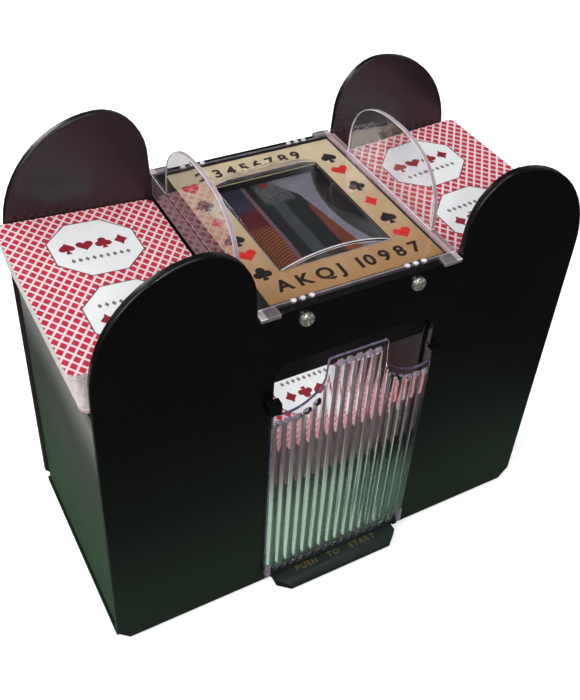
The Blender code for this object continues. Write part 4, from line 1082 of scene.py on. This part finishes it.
# ================================================================== floor, world, lights, camera
def floor_material():
    """Pale floor that glows to the camera and looks darker in reflections and near the body,
    painted shade that is greenish near the body in reflections.
    """
    net = Finish("floor_pale")
    path = net.add("LightPath")
    x, y, _ = net.split(net.position())
    outside_x = (abs(x) - 0.10).at_least(0.0)
    outside_y = (abs(y) - 0.046).at_least(0.0)
    away = net.math("SQRT", outside_x * outside_x + outside_y * outside_y)
    tone = net.noise(3.0, rough=0.5)
    pale = net.principled(
        color=tone.ramp().mix(rgb(240, 240, 239), rgb(244, 244, 243)), rough=0.8, spec=0.1,
        glow_color=(1.0, 1.0, 1.0, 1.0),
        glow=path.output("Is Camera Ray") * away.ramp(0.10, 0.7, low=0.55, high=1.1))
    # painted shade: in reflections the floor is dim, greenish near the body
    dim_colour = away.ramp(0.0, 0.115, smooth=True).mix((0.13, 0.18, 0.14, 1.0),
                                                        (0.035, 0.035, 0.033, 1.0))
    dim = net.add("BsdfDiffuse", {0: dim_colour})
    through_clear = path.output("Is Transmission Ray")
    reflected = path.output("Is Glossy Ray") * (1.0 - through_clear)
    surface = net.mix_shader(reflected, pale, dim)
    # painted light: rays that came through clear plastic see a plain glow, tinted if they were also
    # reflected, with a painted green reflection near the body
    tint = away.ramp(0.03, 0.068, smooth=True).mix((0.56, 0.76, 0.59, 1.0),
                                                   (0.13, 0.105, 0.115, 1.0))
    glow_colour = (path.output("Glossy Depth") > 0.5).mix((0.95, 0.95, 0.95, 1.0), tint)
    surface = net.mix_shader(through_clear, surface, net.add("Emission", {0: glow_colour}))
    # nothing shows from below
    below = net.add("NewGeometry", output="Backfacing")
    net.finish(net.mix_shader(below, surface, net.add("BsdfTransparent")))


def build_floor():
    half = 4.0
    corners = [(-half, -half, 0), (half, -half, 0), (half, half, 0), (-half, half, 0)]
    mesh = bpy.data.meshes.new("floor")
    mesh.from_pydata(corners, [], [(0, 1, 2, 3)])
    floor = add_object("floor", mesh)
    floor_material()
    mesh.materials.append(MATERIALS["floor_pale"])


def build_world():
    world = bpy.data.worlds.new("studio")
    SCENE.world = world
    world.use_nodes = True
    net = Net(world.node_tree)
    path = net.add("LightPath")
    # white only when seen directly or straight through clear plastic
    bounces = net.add("Math", {0: path.output("Glossy Depth"), 1: path.output("Diffuse Depth")},
                      operation="ADD")
    direct = net.add("Math", {0: bounces, 1: 0.5}, operation="LESS_THAN")
    # reflections that look up see a darker ceiling, those that look level see the pale room
    upward = net.split(net.add("TexCoord", output="Generated"))[2]
    room = upward.ramp(0.2, 0.5, low=0.30, high=0.05)
    strength = net.add("Mix", {0: path.output("Is Glossy Ray"), 2: 0.32, 3: room},
                       data_type="FLOAT")
    lighting = net.add("Background", {0: (0.95, 0.98, 1.0, 1.0), 1: strength})
    white = net.add("Background", {0: (1.0, 1.0, 1.0, 1.0), 1: 1.0})
    net.send(net.mix_shader(direct, lighting, white), "OutputWorld")


def area(name, place, target, size, power):
    light = bpy.data.lights.new(name, "AREA")
    light.energy = power
    light.size = size
    lamp = add_object(name, light)
    lamp.location = place
    lamp.rotation_mode = "QUATERNION"
    lamp.rotation_quaternion = (Vector(target) - Vector(place)).to_track_quat("-Z", "Y")
    return lamp


# name, place, target, size, power in watts
LIGHTS = (
    ("key_left", (-1.1, -0.25, 0.9), (0, 0, 0.1), 0.7, 8.0),
    ("top_soft", (-0.1, 0.0, 1.5), (0, 0, 0.1), 0.9, 6.0),
    ("rear_rim", (-0.5, 1.2, 0.7), (0, 0, 0.12), 0.5, 4.0),
    ("flash", (-0.22, -0.55, 0.62), (0, 0, 0.09), 0.10, 1.2),
)
# camera axes and place in the shared frame
CAMERA_RIGHT = (0.8714624270351361, -0.48582432916828505, 0.06729011408978114)
CAMERA_UP = (0.27118643187997854, 0.5916100942115665, 0.7592466105233445)
CAMERA_BACK = (-0.4086699859669605, -0.6434067279840702, 0.6473149349077287)
CAMERA_PLACE = (-0.1564561816, -0.2578052607, 0.3683779298)


def build_lights():
    for light in LIGHTS:
        area(*light)
    # narrow light down into the well between the side decks
    well = area("well_fill", (0.0, -0.022, 0.138), (0.0, -0.022, 0.08), size=0.05, power=0.009)
    well.data.spread = math.radians(75)
    well.visible_camera = False
    well.visible_glossy = False
    well.visible_transmission = False


def build_camera():
    view = bpy.data.cameras.new("view")
    camera = add_object("view", view)
    rows = zip(CAMERA_RIGHT, CAMERA_UP, CAMERA_BACK, CAMERA_PLACE)
    camera.matrix_world = Matrix((*rows, (0, 0, 0, 1)))
    view.sensor_width = 36.0
    view.lens = 49.57893926
    view.shift_x = -0.0317142857
    view.shift_y = -0.0608571429
    view.clip_start = 0.01
    view.clip_end = 20.0
    SCENE.camera = camera


build_floor()
build_world()
build_lights()
build_camera()
SCENE.view_settings.view_transform = "Standard"
